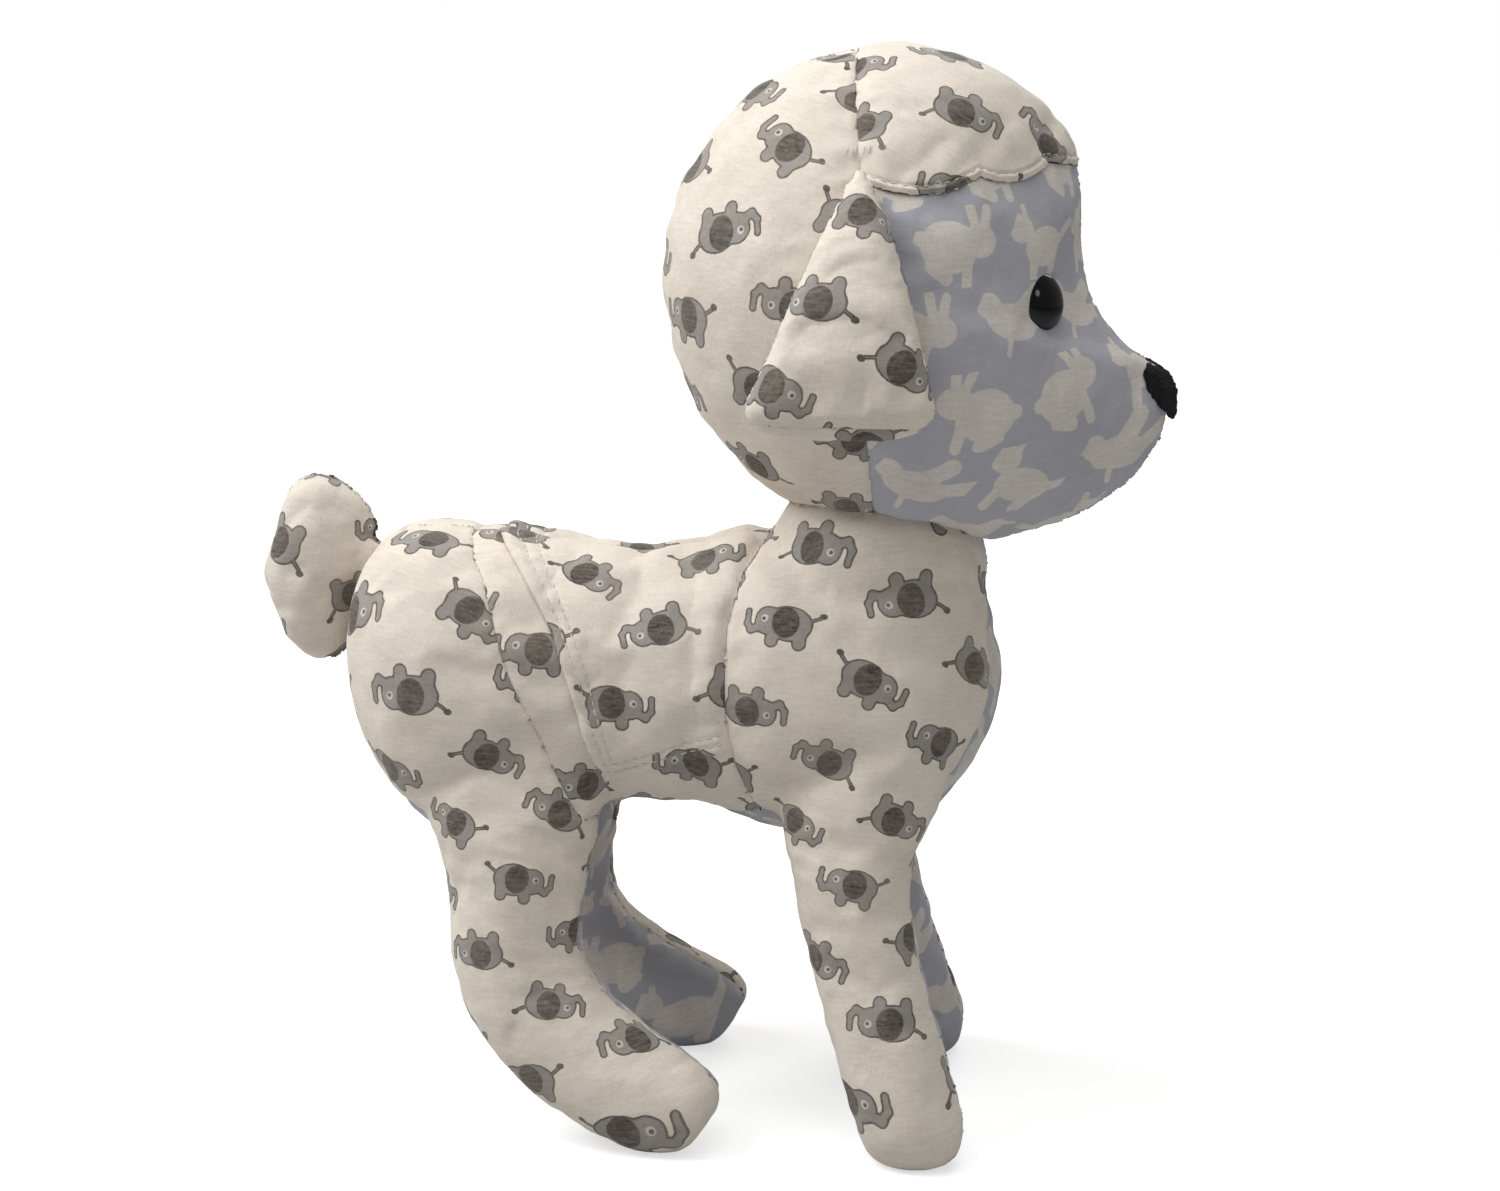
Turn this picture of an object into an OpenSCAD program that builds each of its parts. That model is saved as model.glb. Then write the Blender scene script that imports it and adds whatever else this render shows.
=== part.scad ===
// Standing plush dog, sewn from printed cotton jersey and filled with fibre.
// +X is the way it faces, +Y its left side, +Z up; the origin is under the middle of its box, on the floor.

/* [Fabric] */
// Thickness of the jersey skin
skin = 1; // [0.8:0.1:1.2]
// Extra layer of the flank flap and of the cap over the skin
layer = 0.8; // [0.6:0.1:1]
// Thickness of the felt nose
felt = 1.6; // [1.2:0.1:2]
// Thickness of sewing thread
thread = 0.5; // [0.4:0.1:0.6]
// Gap between bodies that move against each other
gap = 0.6; // [0.5:0.1:0.7]

/* [Trunk] */
// Half width of the trunk at its hips
trunk_half = 44; // [40:1:46]
// Radius of the ball shaped top of the neck
neck_r = 33; // [32:0.5:34]

/* [Legs] */
// Distance from the middle plane to the middle of a front foot
front_spread = 45; // [42:1:50]
// Distance from the middle plane to the middle of a hind foot
hind_spread = 43; // [40:1:48]

/* [Head] */
// Half width of the head
head_half = 54; // [50:1:56]
// Width of an eye
eye_w = 13.5; // [11:0.5:14.5]
// Height of an eye
eye_h = 17; // [14:0.5:18]
// How far an eye stands out of the face
eye_dome = 5; // [4:0.5:6]

/* [Ears] */
// Half thickness of the padded ear at its fullest
ear_half = 8.5; // [7:0.5:9]

/* [Tail] */
// Half width of the tail at its fullest
tail_half = 15; // [12:0.5:16]

/* [Hidden] */
$fn = 24;
right = -1;
left = 1;
// Longer than the whole toy, for cutting bodies
reach = 400;
// Heights and distances that lie clear of the body, where cutting outlines close
above_trunk = 200;
above_neck = 210;
below_floor = -10;
ahead_of_belly = 30;
// How far past a wall a cut goes, and by how much a leg is grown where its lining meets the gusset
overshoot = 1;
nudge = 0.01;
// Least half width of a ring, and the size of a pillow's first and last layer as a share of the largest
least_half = 0.3;
pole = 0.02;
// Sides of the small ball in the neck, of the cones and the base of the cap, and of the eyes
ball_sides = 20;
cone_sides = 30;
cap_sides = 60;
eye_sides = 32;

print_cream = [0.88, 0.86, 0.84];
print_lavender = [0.66, 0.68, 0.76];
fibre_white = [0.96, 0.96, 0.94];
thread_grey = [0.75, 0.73, 0.70];
felt_black = [0.05, 0.05, 0.05];
plastic_black = [0.02, 0.02, 0.02];
washer_white = [0.9, 0.9, 0.88];

// ---- Trunk: x, top, bottom, half width as a share of trunk_half
trunk_rows = [
    [-106, 150, 137, 0.12], [-104.5, 158, 127, 0.34], [-101, 168, 114.5, 0.56], [-95, 176, 102.5, 0.77],
    [-87, 178.5, 91.5, 0.92], [-76, 179, 84, 1.0], [-58, 177.5, 83, 0.98], [-40, 174, 89, 0.91],
    [-18, 172, 96, 0.86], [0, 174, 96, 0.87], [13, 178.5, 93, 0.92], [24, 180, 90, 0.97],
    [40, 174, 87, 1.0], [56, 168, 86, 0.97], [69, 163, 94, 0.87], [79.5, 158, 108, 0.7],
    [87, 152, 122, 0.47], [90.5, 146, 132, 0.18]
];
trunk_sides = 18;
// Exponent that makes a section slightly fuller than an ellipse
fullness = 0.88;

// Centre of the ball that the head sits on
neck_pivot = [53, 0, 168];
// Lower rings of the neck: z, centre x, half length, half width
neck_rows = [[118, 49, 32, 34], [138, 49.5, 39.5, 39], [155, 51, 37, 36], [168, 53, neck_r, neck_r]];

// ---- Front leg, from the sole up: z, centre x, half length, share of the spread, half width
front_rows = [
    [0, 70, 10.5, 1.02, 9], [4, 69.5, 14.2, 1.01, 12.5], [12, 68.6, 17, 1, 15], [27, 63.7, 17, 0.95, 15.2],
    [45, 57.8, 16.6, 0.87, 15], [61, 53, 16.8, 0.79, 15.5], [77, 49.6, 17.3, 0.72, 16.3],
    [90, 49, 19.5, 0.66, 17.3], [105, 51, 23.5, 0.6, 18], [128, 54, 25, 0.53, 18]
];

// ---- Hind leg, from the toe up: centre x, centre z, tilt, half length, share of the spread, half width
hind_rows = [
    [7.5, 8, 55, 9.5, 1.02, 8], [4.5, 9.3, 54, 13, 1.02, 12.5], [-3, 12, 51, 16.3, 1, 15],
    [-14, 16.6, 45, 18.3, 0.96, 16], [-28, 25, 37, 18.9, 0.91, 16.5], [-39.5, 34.5, 27, 18.9, 0.86, 17],
    [-47.5, 45, 16, 19.2, 0.8, 17.5], [-51, 57, 4, 19.6, 0.74, 18], [-51.3, 70, 0, 20.3, 0.69, 18.5],
    [-51.5, 82, 0, 22.8, 0.64, 19], [-53, 97, 0, 27, 0.58, 19.5], [-56, 120, 0, 29, 0.5, 19]
];
leg_sides = 12;

// ---- Head: outline of the middle plane, x and z
head_outline = [
    [-12.5, 254], [-6.5, 284], [14, 311], [42, 322], [72, 319.5], [97, 306.5], [109, 288], [110.5, 268],
    [115, 249], [127, 235.5], [136, 230], [138.5, 219], [130, 198.5], [104, 183], [68, 176.5], [32, 184],
    [-1, 214.5]
];
head_centre = [50, 0, 250];
head_layers = 10;
// Where the head starts to narrow to the muzzle, where it ends, and the share that is lost
muzzle_from = 68;
muzzle_to = 134;
muzzle_narrowing = 0.5;

// ---- Tail: outline of the middle plane, x and z
tail_outline = [
    [-106, 158], [-107.3, 149], [-108.5, 141], [-112.5, 135.5], [-120.5, 134], [-128.5, 141], [-131.5, 150],
    [-136, 160.5], [-135, 167.5], [-131, 178.5], [-127.5, 190], [-119.5, 194], [-110.5, 191.5],
    [-102.5, 184.5], [-99.5, 177.5], [-103, 168]
];
tail_centre = [-120, 0, 161];
tail_layers = 6;
// Where the tail starts to narrow to its root, and the share that is lost there
tail_narrow_from = -120;
tail_narrowing = 0.55;
tail_hinge = [-102.5, 0, 160];
tail_root_r = 6;
tail_root_from = 146;
tail_root_to = 172;

// ---- Ear, from its lower edge up: z, centre x, half length, centre y, half width as a share of ear_half
ear_rows = [
    [214.5, 43, 15, 65, 0.45], [217, 43, 23, 65.3, 0.75], [222, 44, 27, 65.4, 0.95], [235, 45.3, 22.5, 65, 1],
    [250, 46.2, 17.2, 63.5, 0.88], [265, 47, 11.7, 59.7, 0.66], [277, 47.4, 6.8, 54.6, 0.42],
    [285, 47.7, 3.6, 50.4, 0.24], [289, 47.8, 1.8, 48.3, 0.12]
];
ear_sides = 12;
// How far outside the ear's middle surface the seam between its panels lies
ear_shift = 0.05;
// Height of the seam along the ear's lower edge
ear_hem = 218;

// ---- Seams in the side view, x and z
hip_seam = [[-74, 200], [-70.5, 180], [-61, 166], [-57, 156], [-53.5, 144], [-46.5, 129], [-37, 109],
    [-31, 98], [-22, 92], [0, 80]];
flap_rear = [[-66, 200], [-55, 172], [-47, 164], [-41.5, 157], [-38.5, 148], [-36, 140], [-32, 130],
    [-27.5, 118], [-26, 107.5]];
flap_hem = [[-40, 106], [-26, 107.5], [-14, 111], [-2, 115], [10, 121], [40, 140]];
shoulder_seam = [[28, 200], [20, 178.5], [15, 171], [11.5, 157], [11, 145], [11.5, 130], [14, 116], [19, 102],
    [28, 90]];
head_seam = [[42, 340], [43.5, 320], [47, 288], [49, 250], [50.6, 212], [53, 184], [53.5, 160]];
// Line between the front and the hind legs
leg_gap = [[ahead_of_belly, 70], [ahead_of_belly, below_floor]];
// Half width of the lavender underbody at a height, at the chest and at the rump
chest_edge = [[0, 164], [8, 155], [13, 147], [17, 138], [19, 128], [21, 115], [25, 101], [30, 85], [34, 65],
    [39, 45], [43, 25], [46, 0]];
rump_edge = [[0, 118], [8, 108], [20, 98], [28, 80]];
// The same down the hind legs
hind_edge = [[28, 80], [31, 62], [34, 48], [38.5, 27], [41, 19], [43.5, 0]];
// Underbody along the belly: x and half width, and how high it reaches there
belly_edge = [[-30, 24], [-22, 14], [-12, 8], [4, 8], [13, 14], [20, 26]];
belly_top = 104;
// Where the belly starts and ends
belly_from = belly_edge[0][0];
belly_to = belly_edge[len(belly_edge) - 1][0];
// Hem stitching: distance from the fold to the first row, and between the two rows
hem_margin = 3;
hem_rows_apart = 2.5;

// ---- Scalloped edge of the cap: azimuth from the middle plane, elevation, angular radius
scallops = [[0, 65, 30.5], [41, 57, 23], [73, 56, 24.5]];
cap_base_elevation = 46;
// Width of the rolled edge of the cap
cap_roll = 2.2;

// ---- Eyes: place on the face, direction they look in as azimuth from the middle plane and elevation
eye_seat = [98, -28.2, 251];
eye_azimuth = -40;
eye_elevation = 10;
eye_tilt = 7;
// Size of the flat under an eye, as a share of the eye
eye_press = 1.015;
shank_r = 2.4;
shank_length = 16;
washer_r = 8;
washer_depth = 2.6;
washer_thick = 1.5;

// ---- Nose: its rear edge in the side view, from the top down; it wraps round the end of the muzzle
nose_edge = [[131.6, 235], [129.8, 233], [129.4, 229.8], [130.8, 225.2], [133.6, 221.6], [137.2, 218.8],
    [139.4, 215.8]];

// ---- Where the ears hang
ear_hinge = [47.8, 47, 289];
// Size of the row of stitches over the hinge, and how far above it lies
ear_tack = [6, 12, 2];
ear_tack_above = 3;

// ==== Shape functions

function blend4(a, b, c, d, s) =
    0.5 * (2 * b + (c - a) * s + (2 * a - 5 * b + 4 * c - d) * s * s + (3 * b - a - 3 * c + d) * s * s * s);

// A closed outline with k points for each given one, on a smooth curve
function smooth_outline(pts, k) =
    let (n = len(pts))
    [for (i = [0:n - 1]) for (s = [0:k - 1])
        blend4(pts[(i + n - 1) % n], pts[i], pts[(i + 1) % n], pts[(i + 2) % n], s / k)];

function full(v) = sign(v) * pow(abs(v), fullness);

// One ring about c, spanned by directions u and v with half lengths a and b
function ring(c, u, v, a, b, n) =
    [for (i = [0:n - 1]) let (t = 360 * i / n) c + a * full(cos(t)) * u + b * full(sin(t)) * v];

function smoothstep(t) = let (s = max(0, min(1, t))) s * s * (3 - 2 * s);

// Closed surface through rings that advance along their own normal
module loft(rings) {
    n = len(rings[0]);
    m = len(rings);
    sides = [for (j = [0:m - 2]) for (i = [0:n - 1])
        let (a = j * n + i, b = j * n + (i + 1) % n)
        each [[a, b + n, b], [a, a + n, b + n]]];
    start = [for (i = [0:n - 1]) i];
    end = [for (i = [n - 1:-1:0]) (m - 1) * n + i];
    polyhedron([for (r = rings) each r], concat([start], sides, [end]), convexity = 10);
}

// Keeps what it holds as one body of flat facets
module sewn() {
    resize([0, 0, 0]) children();
}

// Outline in the side view, carried across the whole width
module across(pts) {
    rotate([90, 0, 0]) linear_extrude(height = 2 * reach, center = true) polygon(pts);
}

// Outline in the front view, carried along x from x0 to x1
module along(pts, x0, x1) {
    translate([x0, 0, 0]) rotate([90, 0, 90]) linear_extrude(height = x1 - x0) polygon(pts);
}

// One side of the middle plane
module half(side) {
    translate([-reach, side == right ? -2 * reach : 0, -reach]) cube([2 * reach, 2 * reach, 2 * reach]);
}

module place(side) {
    mirror([0, side == right ? 0 : 1, 0]) children();
}

// ==== Forms; g grows a form outwards, and a negative g shrinks it

module trunk_form(g) {
    last = len(trunk_rows) - 1;
    loft([for (i = [0:last])
        let (r = trunk_rows[i], x = r[0] + (i == 0 ? -g : i == last ? g : 0))
        ring([x, 0, (r[1] + r[2]) / 2], [0, 1, 0], [0, 0, 1],
            r[3] * trunk_half + g, (r[1] - r[2]) / 2 + g, trunk_sides)]);
}

module neck_form(g) {
    loft([for (r = neck_rows) ring([r[1], 0, r[0]], [1, 0, 0], [0, 1, 0], r[2] + g, r[3] + g, trunk_sides)]);
    translate(neck_pivot) sphere(r = neck_r + g);
}

module front_leg_form(g, side) {
    last = len(front_rows) - 1;
    place(side)
        loft([for (i = [0:last])
            let (r = front_rows[i], z = r[0] + (i == 0 ? -g : i == last ? g : 0))
            ring([r[1], -r[3] * front_spread, z], [1, 0, 0], [0, 1, 0], r[2] + g, r[4] + g, leg_sides)]);
}

module hind_leg_form(g, side) {
    last = len(hind_rows) - 1;
    place(side)
        loft([for (i = [0:last])
            let (r = hind_rows[i],
                u = [cos(r[2]), 0, sin(r[2])],
                ahead = [-sin(r[2]), 0, cos(r[2])],
                shift = i == 0 ? -g : i == last ? g : 0)
            ring([r[0], -r[4] * hind_spread, r[1]] + shift * ahead, u, [0, 1, 0], r[3] + g, r[5] + g,
                leg_sides)]);
}

module above_floor(g) {
    intersection() {
        children();
        translate([-reach, -reach, -g]) cube([2 * reach, 2 * reach, reach]);
    }
}

module body_form(g) {
    above_floor(g) {
        union() {
            trunk_form(g);
            neck_form(g);
            for (side = [right, left]) {
                front_leg_form(g, side);
                hind_leg_form(g, side);
            }
        }
    }
}

// Hollow in the rump where the root of the tail turns
module tail_socket(g) {
    translate([tail_hinge[0], 0, tail_root_from - gap])
        cylinder(r = tail_root_r + gap + g, h = tail_root_to - tail_root_from + 2 * gap);
}

module body_shell() {
    difference() {
        body_form(0);
        body_form(-skin);
        tail_socket(0);
    }
}

// A pillow: an outline in the middle plane that closes in towards its sides
module pillow(outline, centre, half_width, layers, g, narrow_from, narrow_to, narrowing) {
    rings = [for (j = [0:layers])
        let (b = -90 + 180 * j / layers, k = max(cos(b), pole))
        [for (p = outline)
            let (d = [p[0] - centre[0], 0, p[1] - centre[2]],
                q = centre + k * (d + g * d / norm(d)),
                lost = narrowing * smoothstep((q[0] - narrow_from) / (narrow_to - narrow_from)),
                w = half_width * (1 - lost))
            q + [0, (w + g) * sin(b), 0]]];
    loft(rings);
}

module head_form(g) {
    pillow(smooth_outline(head_outline, 2), head_centre, head_half, head_layers, g,
        muzzle_from, muzzle_to, muzzle_narrowing);
}

// Ball shaped hollow under the head
module neck_socket(g) {
    translate(neck_pivot) sphere(r = neck_r + gap + g);
}

module head_shell() {
    difference() {
        head_form(0);
        head_form(-skin);
        neck_socket(0);
    }
}

module tail_form(g) {
    pillow(tail_outline, tail_centre, tail_half, tail_layers, g,
        tail_narrow_from, tail_hinge[0], tail_narrowing);
    translate([tail_hinge[0], 0, tail_root_from - g])
        cylinder(r = tail_root_r + g, h = tail_root_to - tail_root_from + 2 * g);
}

module ear_form(g, side) {
    last = len(ear_rows) - 1;
    place(side)
        loft([for (i = [0:last])
            let (r = ear_rows[i], z = r[0] + (i == 0 ? -g : i == last ? g : 0))
            ring([r[1], -r[3], z], [1, 0, 0], [0, 1, 0], r[2] + g, max(r[4] * ear_half + g, least_half),
                ear_sides)]);
}

// ==== Regions that the panels are cut from

module behind(seam) {
    across(concat(seam, [[-reach, seam[len(seam) - 1][1]], [-reach, seam[0][1]]]));
}

function mirrored(edge) = concat(edge, [for (i = [len(edge) - 1:-1:0]) [-edge[i][0], edge[i][1]]]);

function doubled(edge) = concat(edge, [for (i = [len(edge) - 1:-1:0]) [edge[i][0], -edge[i][1]]]);

module underbody_region() {
    knee = hind_edge[0][1];
    along(mirrored(chest_edge), belly_to, reach);
    translate([0, 0, knee]) linear_extrude(height = belly_top - knee) polygon(doubled(belly_edge));
    along(mirrored(rump_edge), -reach, belly_from);
    along(mirrored(hind_edge), -reach, belly_to);
}

module hip_region() {
    across(concat(hip_seam, leg_gap, [[-reach, below_floor], [-reach, above_trunk]]));
}

module shoulder_region() {
    top = [[reach, above_neck], [shoulder_seam[0][0], above_neck]];
    across(concat(shoulder_seam, leg_gap, [[reach, below_floor]], top));
}

module outer_body_shell(side) {
    difference() {
        intersection() {
            body_shell();
            half(side);
        }
        underbody_region();
    }
}

// ==== Trunk

module trunk_stuffing() {
    color(fibre_white)
        sewn()
            difference() {
                union() {
                    trunk_form(-skin);
                    neck_form(-skin);
                }
                translate(neck_pivot) sphere(r = neck_r - skin);
                tail_socket(0);
            }
}

module leg_stuffing(side, front) {
    color(fibre_white)
        sewn()
            difference() {
                above_floor(-skin) {
                    if (front) {
                        front_leg_form(-skin, side);
                    } else {
                        hind_leg_form(-skin, side);
                    }
                }
                trunk_form(-skin);
                neck_form(-skin);
            }
}

module shoulder_panel(side) {
    color(print_cream)
        sewn()
            intersection() {
                outer_body_shell(side);
                shoulder_region();
            }
}

module hip_panel(side) {
    color(print_cream)
        sewn()
            intersection() {
                outer_body_shell(side);
                hip_region();
            }
}

module side_panel(side) {
    color(print_cream)
        sewn()
            difference() {
                outer_body_shell(side);
                hip_region();
                shoulder_region();
            }
}

// Ahead of the flap's rear edge and above its hem
module flap_region(inset) {
    intersection() {
        translate([inset, 0, 0])
            across(concat(flap_rear, [[reach, belly_top], [reach, above_trunk]]));
        translate([0, 0, inset])
            across(concat(flap_hem, [[40, above_trunk], [-reach, above_trunk], [-reach, belly_top]]));
    }
}

module flank_flap(side) {
    color(print_cream)
        sewn()
            difference() {
                intersection() {
                    body_form(layer);
                    half(side);
                    flap_region(0);
                }
                body_form(0);
                shoulder_region();
            }
}

module hem_stitching(side) {
    color(thread_grey)
        sewn()
            for (row = [0, 1]) {
                margin = hem_margin + row * hem_rows_apart;
                difference() {
                    intersection() {
                        body_form(layer + thread);
                        half(side);
                        flap_region(margin);
                    }
                    flap_region(margin + thread);
                    body_form(layer);
                    shoulder_region();
                }
            }
}

module belly_gusset() {
    color(print_lavender)
        sewn()
            difference() {
                intersection() {
                    body_shell();
                    underbody_region();
                }
                for (side = [right, left]) {
                    front_leg_form(nudge, side);
                    hind_leg_form(nudge, side);
                }
            }
}

module leg_lining(side, front) {
    color(print_lavender)
        sewn()
            intersection() {
                body_shell();
                half(side);
                underbody_region();
                if (front) {
                    front_leg_form(nudge, side);
                } else {
                    hind_leg_form(nudge, side);
                }
            }
}

// ==== Tail

// Stitches on the rump round the root of the tail
module tail_stitches() {
    color(thread_grey)
        sewn()
            intersection() {
                difference() {
                    body_form(thread);
                    body_form(0);
                }
                difference() {
                    tail_socket(3 * thread);
                    tail_socket(thread);
                }
            }
}

module tail_stuffing() {
    color(fibre_white)
        sewn()
            tail_form(-skin);
}

module tail_panel(side) {
    color(print_cream)
        sewn()
            intersection() {
                difference() {
                    tail_form(0);
                    tail_form(-skin);
                }
                half(side);
            }
}

// ==== Neck

module neck_stuffing() {
    color(fibre_white)
        sewn()
            translate(neck_pivot) sphere(r = neck_r - skin - gap, $fn = ball_sides);
}

// Stitches on the ball of the neck, along the edge of the head's hollow
module neck_stitches() {
    color(thread_grey)
        sewn()
            intersection() {
                difference() {
                    head_form(thread);
                    head_form(0);
                }
                difference() {
                    neck_socket(3 * thread);
                    neck_socket(0);
                }
            }
}

// ==== Head

module head_stuffing() {
    color(fibre_white)
        sewn()
            difference() {
                head_form(-skin);
                neck_socket(0);
                for (side = [right, left]) {
                    eye_hole(side);
                }
            }
}

module head_back(side) {
    color(print_cream)
        sewn()
            intersection() {
                head_shell();
                half(side);
                behind(head_seam);
            }
}

// Direction from the head's centre at an azimuth from the middle plane and an elevation
function ray(azimuth, elevation) =
    [cos(elevation) * cos(azimuth), cos(elevation) * sin(azimuth), sin(elevation)];

// Everything the cap covers, seen from the head's centre; inset draws its edge back
module cap_region(inset) {
    translate(head_centre) {
        rotate_extrude($fn = cap_sides)
            polygon([[0, inset / 2], [0, reach],
                [reach * cos(cap_base_elevation), reach],
                [reach * cos(cap_base_elevation), reach * sin(cap_base_elevation) + inset / 2]]);
        for (s = scallops) {
            for (m = [-1, 1]) {
                rotate([0, 90 - s[1], m * s[0]])
                    cylinder(r1 = 0, r2 = reach * tan(s[2] - inset / 1.2), h = reach, $fn = cone_sides);
            }
        }
    }
}

module cap_panel() {
    color(print_cream)
        sewn()
            difference() {
                intersection() {
                    head_form(layer);
                    cap_region(0);
                }
                head_form(-skin);
                behind(head_seam);
            }
}

module cap_stitching() {
    color(thread_grey)
        sewn()
            difference() {
                intersection() {
                    head_form(layer + thread);
                    cap_region(cap_roll);
                }
                cap_region(cap_roll + thread);
                head_form(layer);
                behind(head_seam);
            }
}

module face_panel(side) {
    color(print_lavender)
        sewn()
            difference() {
                intersection() {
                    head_shell();
                    half(side);
                }
                cap_region(0);
                behind(head_seam);
                eye_hole(side);
            }
}

module nose() {
    color(felt_black)
        sewn()
            intersection() {
                difference() {
                    head_form(felt);
                    head_form(0);
                }
                across(concat(nose_edge, [[reach, nose_edge[6][1]], [reach, nose_edge[0][1]]]));
            }
}

// ==== Eyes: the local z axis stands out of the face

module at_eye(side) {
    place(side)
        translate(eye_seat)
            rotate([0, 0, eye_azimuth])
                rotate([0, 90 - eye_elevation, 0])
                    rotate([0, 0, 90])
                        children();
}

// Room for an eye's shank and washer, and the flat that its back presses into the face
module eye_hole(side) {
    at_eye(side) {
        rotate([0, 0, eye_tilt])
            scale([eye_w / 2, eye_h / 2, eye_dome])
                cylinder(r = eye_press, h = 1);
        translate([0, 0, -shank_length - gap]) cylinder(r = shank_r + gap, h = shank_length + eye_dome);
        translate([0, 0, -washer_depth - washer_thick - gap])
            cylinder(r = washer_r + gap, h = washer_thick + 2 * gap);
    }
}

module eye(side) {
    color(plastic_black)
        at_eye(side) {
            sewn()
                rotate([0, 0, eye_tilt])
                    scale([eye_w / 2, eye_h / 2, eye_dome])
                        intersection() {
                            sphere(r = 1, $fn = eye_sides);
                            translate([-2, -2, nudge]) cube([4, 4, 2]);
                        }
            translate([0, 0, -shank_length]) cylinder(r = shank_r, h = shank_length + overshoot);
        }
}

module eye_washer(side) {
    color(washer_white)
        at_eye(side)
            translate([0, 0, -washer_depth - washer_thick])
                difference() {
                    cylinder(r = washer_r, h = washer_thick);
                    translate([0, 0, -overshoot])
                        cylinder(r = shank_r, h = washer_thick + 2 * overshoot);
                }
}

// ==== Ears

module ear_stuffing(side) {
    color(fibre_white)
        sewn()
            ear_form(-skin, side);
}

// Outside of the ear's middle surface and above its lower seam
module ear_outer_region(side) {
    last = ear_rows[len(ear_rows) - 1];
    middle = [for (r = ear_rows) if (r[0] > ear_hem) [-r[3] - ear_shift, r[0]]];
    below = [[-reach, ear_hem], [-ear_rows[0][3], ear_hem]];
    above = [[-last[3], reach], [-reach, reach]];
    place(side) along(concat(below, middle, above), -reach, reach);
}

module ear_outer(side) {
    color(print_cream)
        sewn()
            intersection() {
                difference() {
                    ear_form(0, side);
                    ear_form(-skin, side);
                }
                ear_outer_region(side);
            }
}

module ear_inner(side) {
    color(print_cream)
        sewn()
            difference() {
                ear_form(0, side);
                ear_form(-skin, side);
                ear_outer_region(side);
            }
}

// Stitches at the head's side seam, where the ear hangs
module ear_stitches(side) {
    color(thread_grey)
        sewn()
            intersection() {
                difference() {
                    head_form(layer + thread);
                    head_form(layer);
                }
                place(side)
                    translate([ear_hinge[0], -ear_hinge[1], ear_hinge[2] + ear_tack_above])
                        cube(ear_tack, center = true);
            }
}

trunk_stuffing();
leg_stuffing(right, true);  // front_leg_stuffing_right
leg_stuffing(left, true);  // front_leg_stuffing_left
leg_stuffing(right, false);  // hind_leg_stuffing_right
leg_stuffing(left, false);  // hind_leg_stuffing_left
shoulder_panel(right);  // shoulder_panel_right
shoulder_panel(left);  // shoulder_panel_left
side_panel(right);  // side_panel_right
side_panel(left);  // side_panel_left
flank_flap(right);  // flank_flap_right
flank_flap(left);  // flank_flap_left
hem_stitching(right);  // hem_stitching_right
hem_stitching(left);  // hem_stitching_left
hip_panel(right);  // hip_panel_right
hip_panel(left);  // hip_panel_left
belly_gusset();
leg_lining(right, true);  // front_leg_lining_right
leg_lining(left, true);  // front_leg_lining_left
leg_lining(right, false);  // hind_leg_lining_right
leg_lining(left, false);  // hind_leg_lining_left
tail_stitches();
tail_stuffing();
tail_panel(right);  // tail_panel_right
tail_panel(left);  // tail_panel_left
neck_stuffing();
neck_stitches();
head_stuffing();
head_back(right);  // head_back_right
head_back(left);  // head_back_left
cap_panel();
cap_stitching();
face_panel(right);  // face_panel_right
face_panel(left);  // face_panel_left
nose();
eye(right);  // eye_right
eye(left);  // eye_left
eye_washer(right);  // eye_washer_right
eye_washer(left);  // eye_washer_left
ear_stitches(right);  // ear_stitches_right
ear_stitches(left);  // ear_stitches_left
ear_stuffing(right);  // ear_stuffing_right
ear_stuffing(left);  // ear_stuffing_left
ear_outer(right);  // ear_outer_right
ear_outer(left);  // ear_outer_left
ear_inner(right);  // ear_inner_right
ear_inner(left);  // ear_inner_left
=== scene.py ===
"""Looks of the plush dog: sewn jersey panels, printed cloth, stitches, eyes and nose.

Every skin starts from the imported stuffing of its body. It is remeshed, inflated by a cloth simulation
with its seams held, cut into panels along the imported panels' borders, and given seams and thickness.
Lengths are in metres unless a name ends in _mm.
"""
import math

import bmesh
import bpy
import numpy as np
from mathutils import Matrix, Vector, noise
from mathutils.bvhtree import BVHTree
from mathutils.kdtree import KDTree


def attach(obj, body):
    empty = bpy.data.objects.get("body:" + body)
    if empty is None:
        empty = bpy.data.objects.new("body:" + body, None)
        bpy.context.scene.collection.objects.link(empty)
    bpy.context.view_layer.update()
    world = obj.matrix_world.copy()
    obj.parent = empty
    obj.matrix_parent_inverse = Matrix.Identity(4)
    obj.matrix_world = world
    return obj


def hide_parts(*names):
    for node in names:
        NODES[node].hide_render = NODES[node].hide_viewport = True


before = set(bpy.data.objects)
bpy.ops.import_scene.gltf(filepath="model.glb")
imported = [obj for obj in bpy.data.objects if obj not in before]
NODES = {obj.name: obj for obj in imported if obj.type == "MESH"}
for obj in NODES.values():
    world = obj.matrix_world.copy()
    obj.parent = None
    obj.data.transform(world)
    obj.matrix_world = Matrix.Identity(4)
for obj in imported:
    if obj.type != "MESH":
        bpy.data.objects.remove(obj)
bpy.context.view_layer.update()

MM = 0.001
# Thickness of the cloth, and the gap left between it and the stuffing
SKIN = 1.0 * MM
SKIN_GAP = 0.35 * MM
SIDES = ("right", "left")
# The second layers: how far they stand out, and how far inside their edges the stitches run
CAP_RISE = 0.95 * MM
CAP_STITCH = 2.1 * MM
FLAP_RISE = 1.5 * MM
HEM_ROWS = (3.0 * MM, 5.5 * MM)
# Hand stitches: how far they stand out, and the radius of their thread; then the machine's thread and pitch
SEWN_RISE = 0.1 * MM
HAND_THREAD = 0.25 * MM
MACHINE_THREAD = 0.2 * MM
STITCH_PITCH = 3.0 * MM
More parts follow.
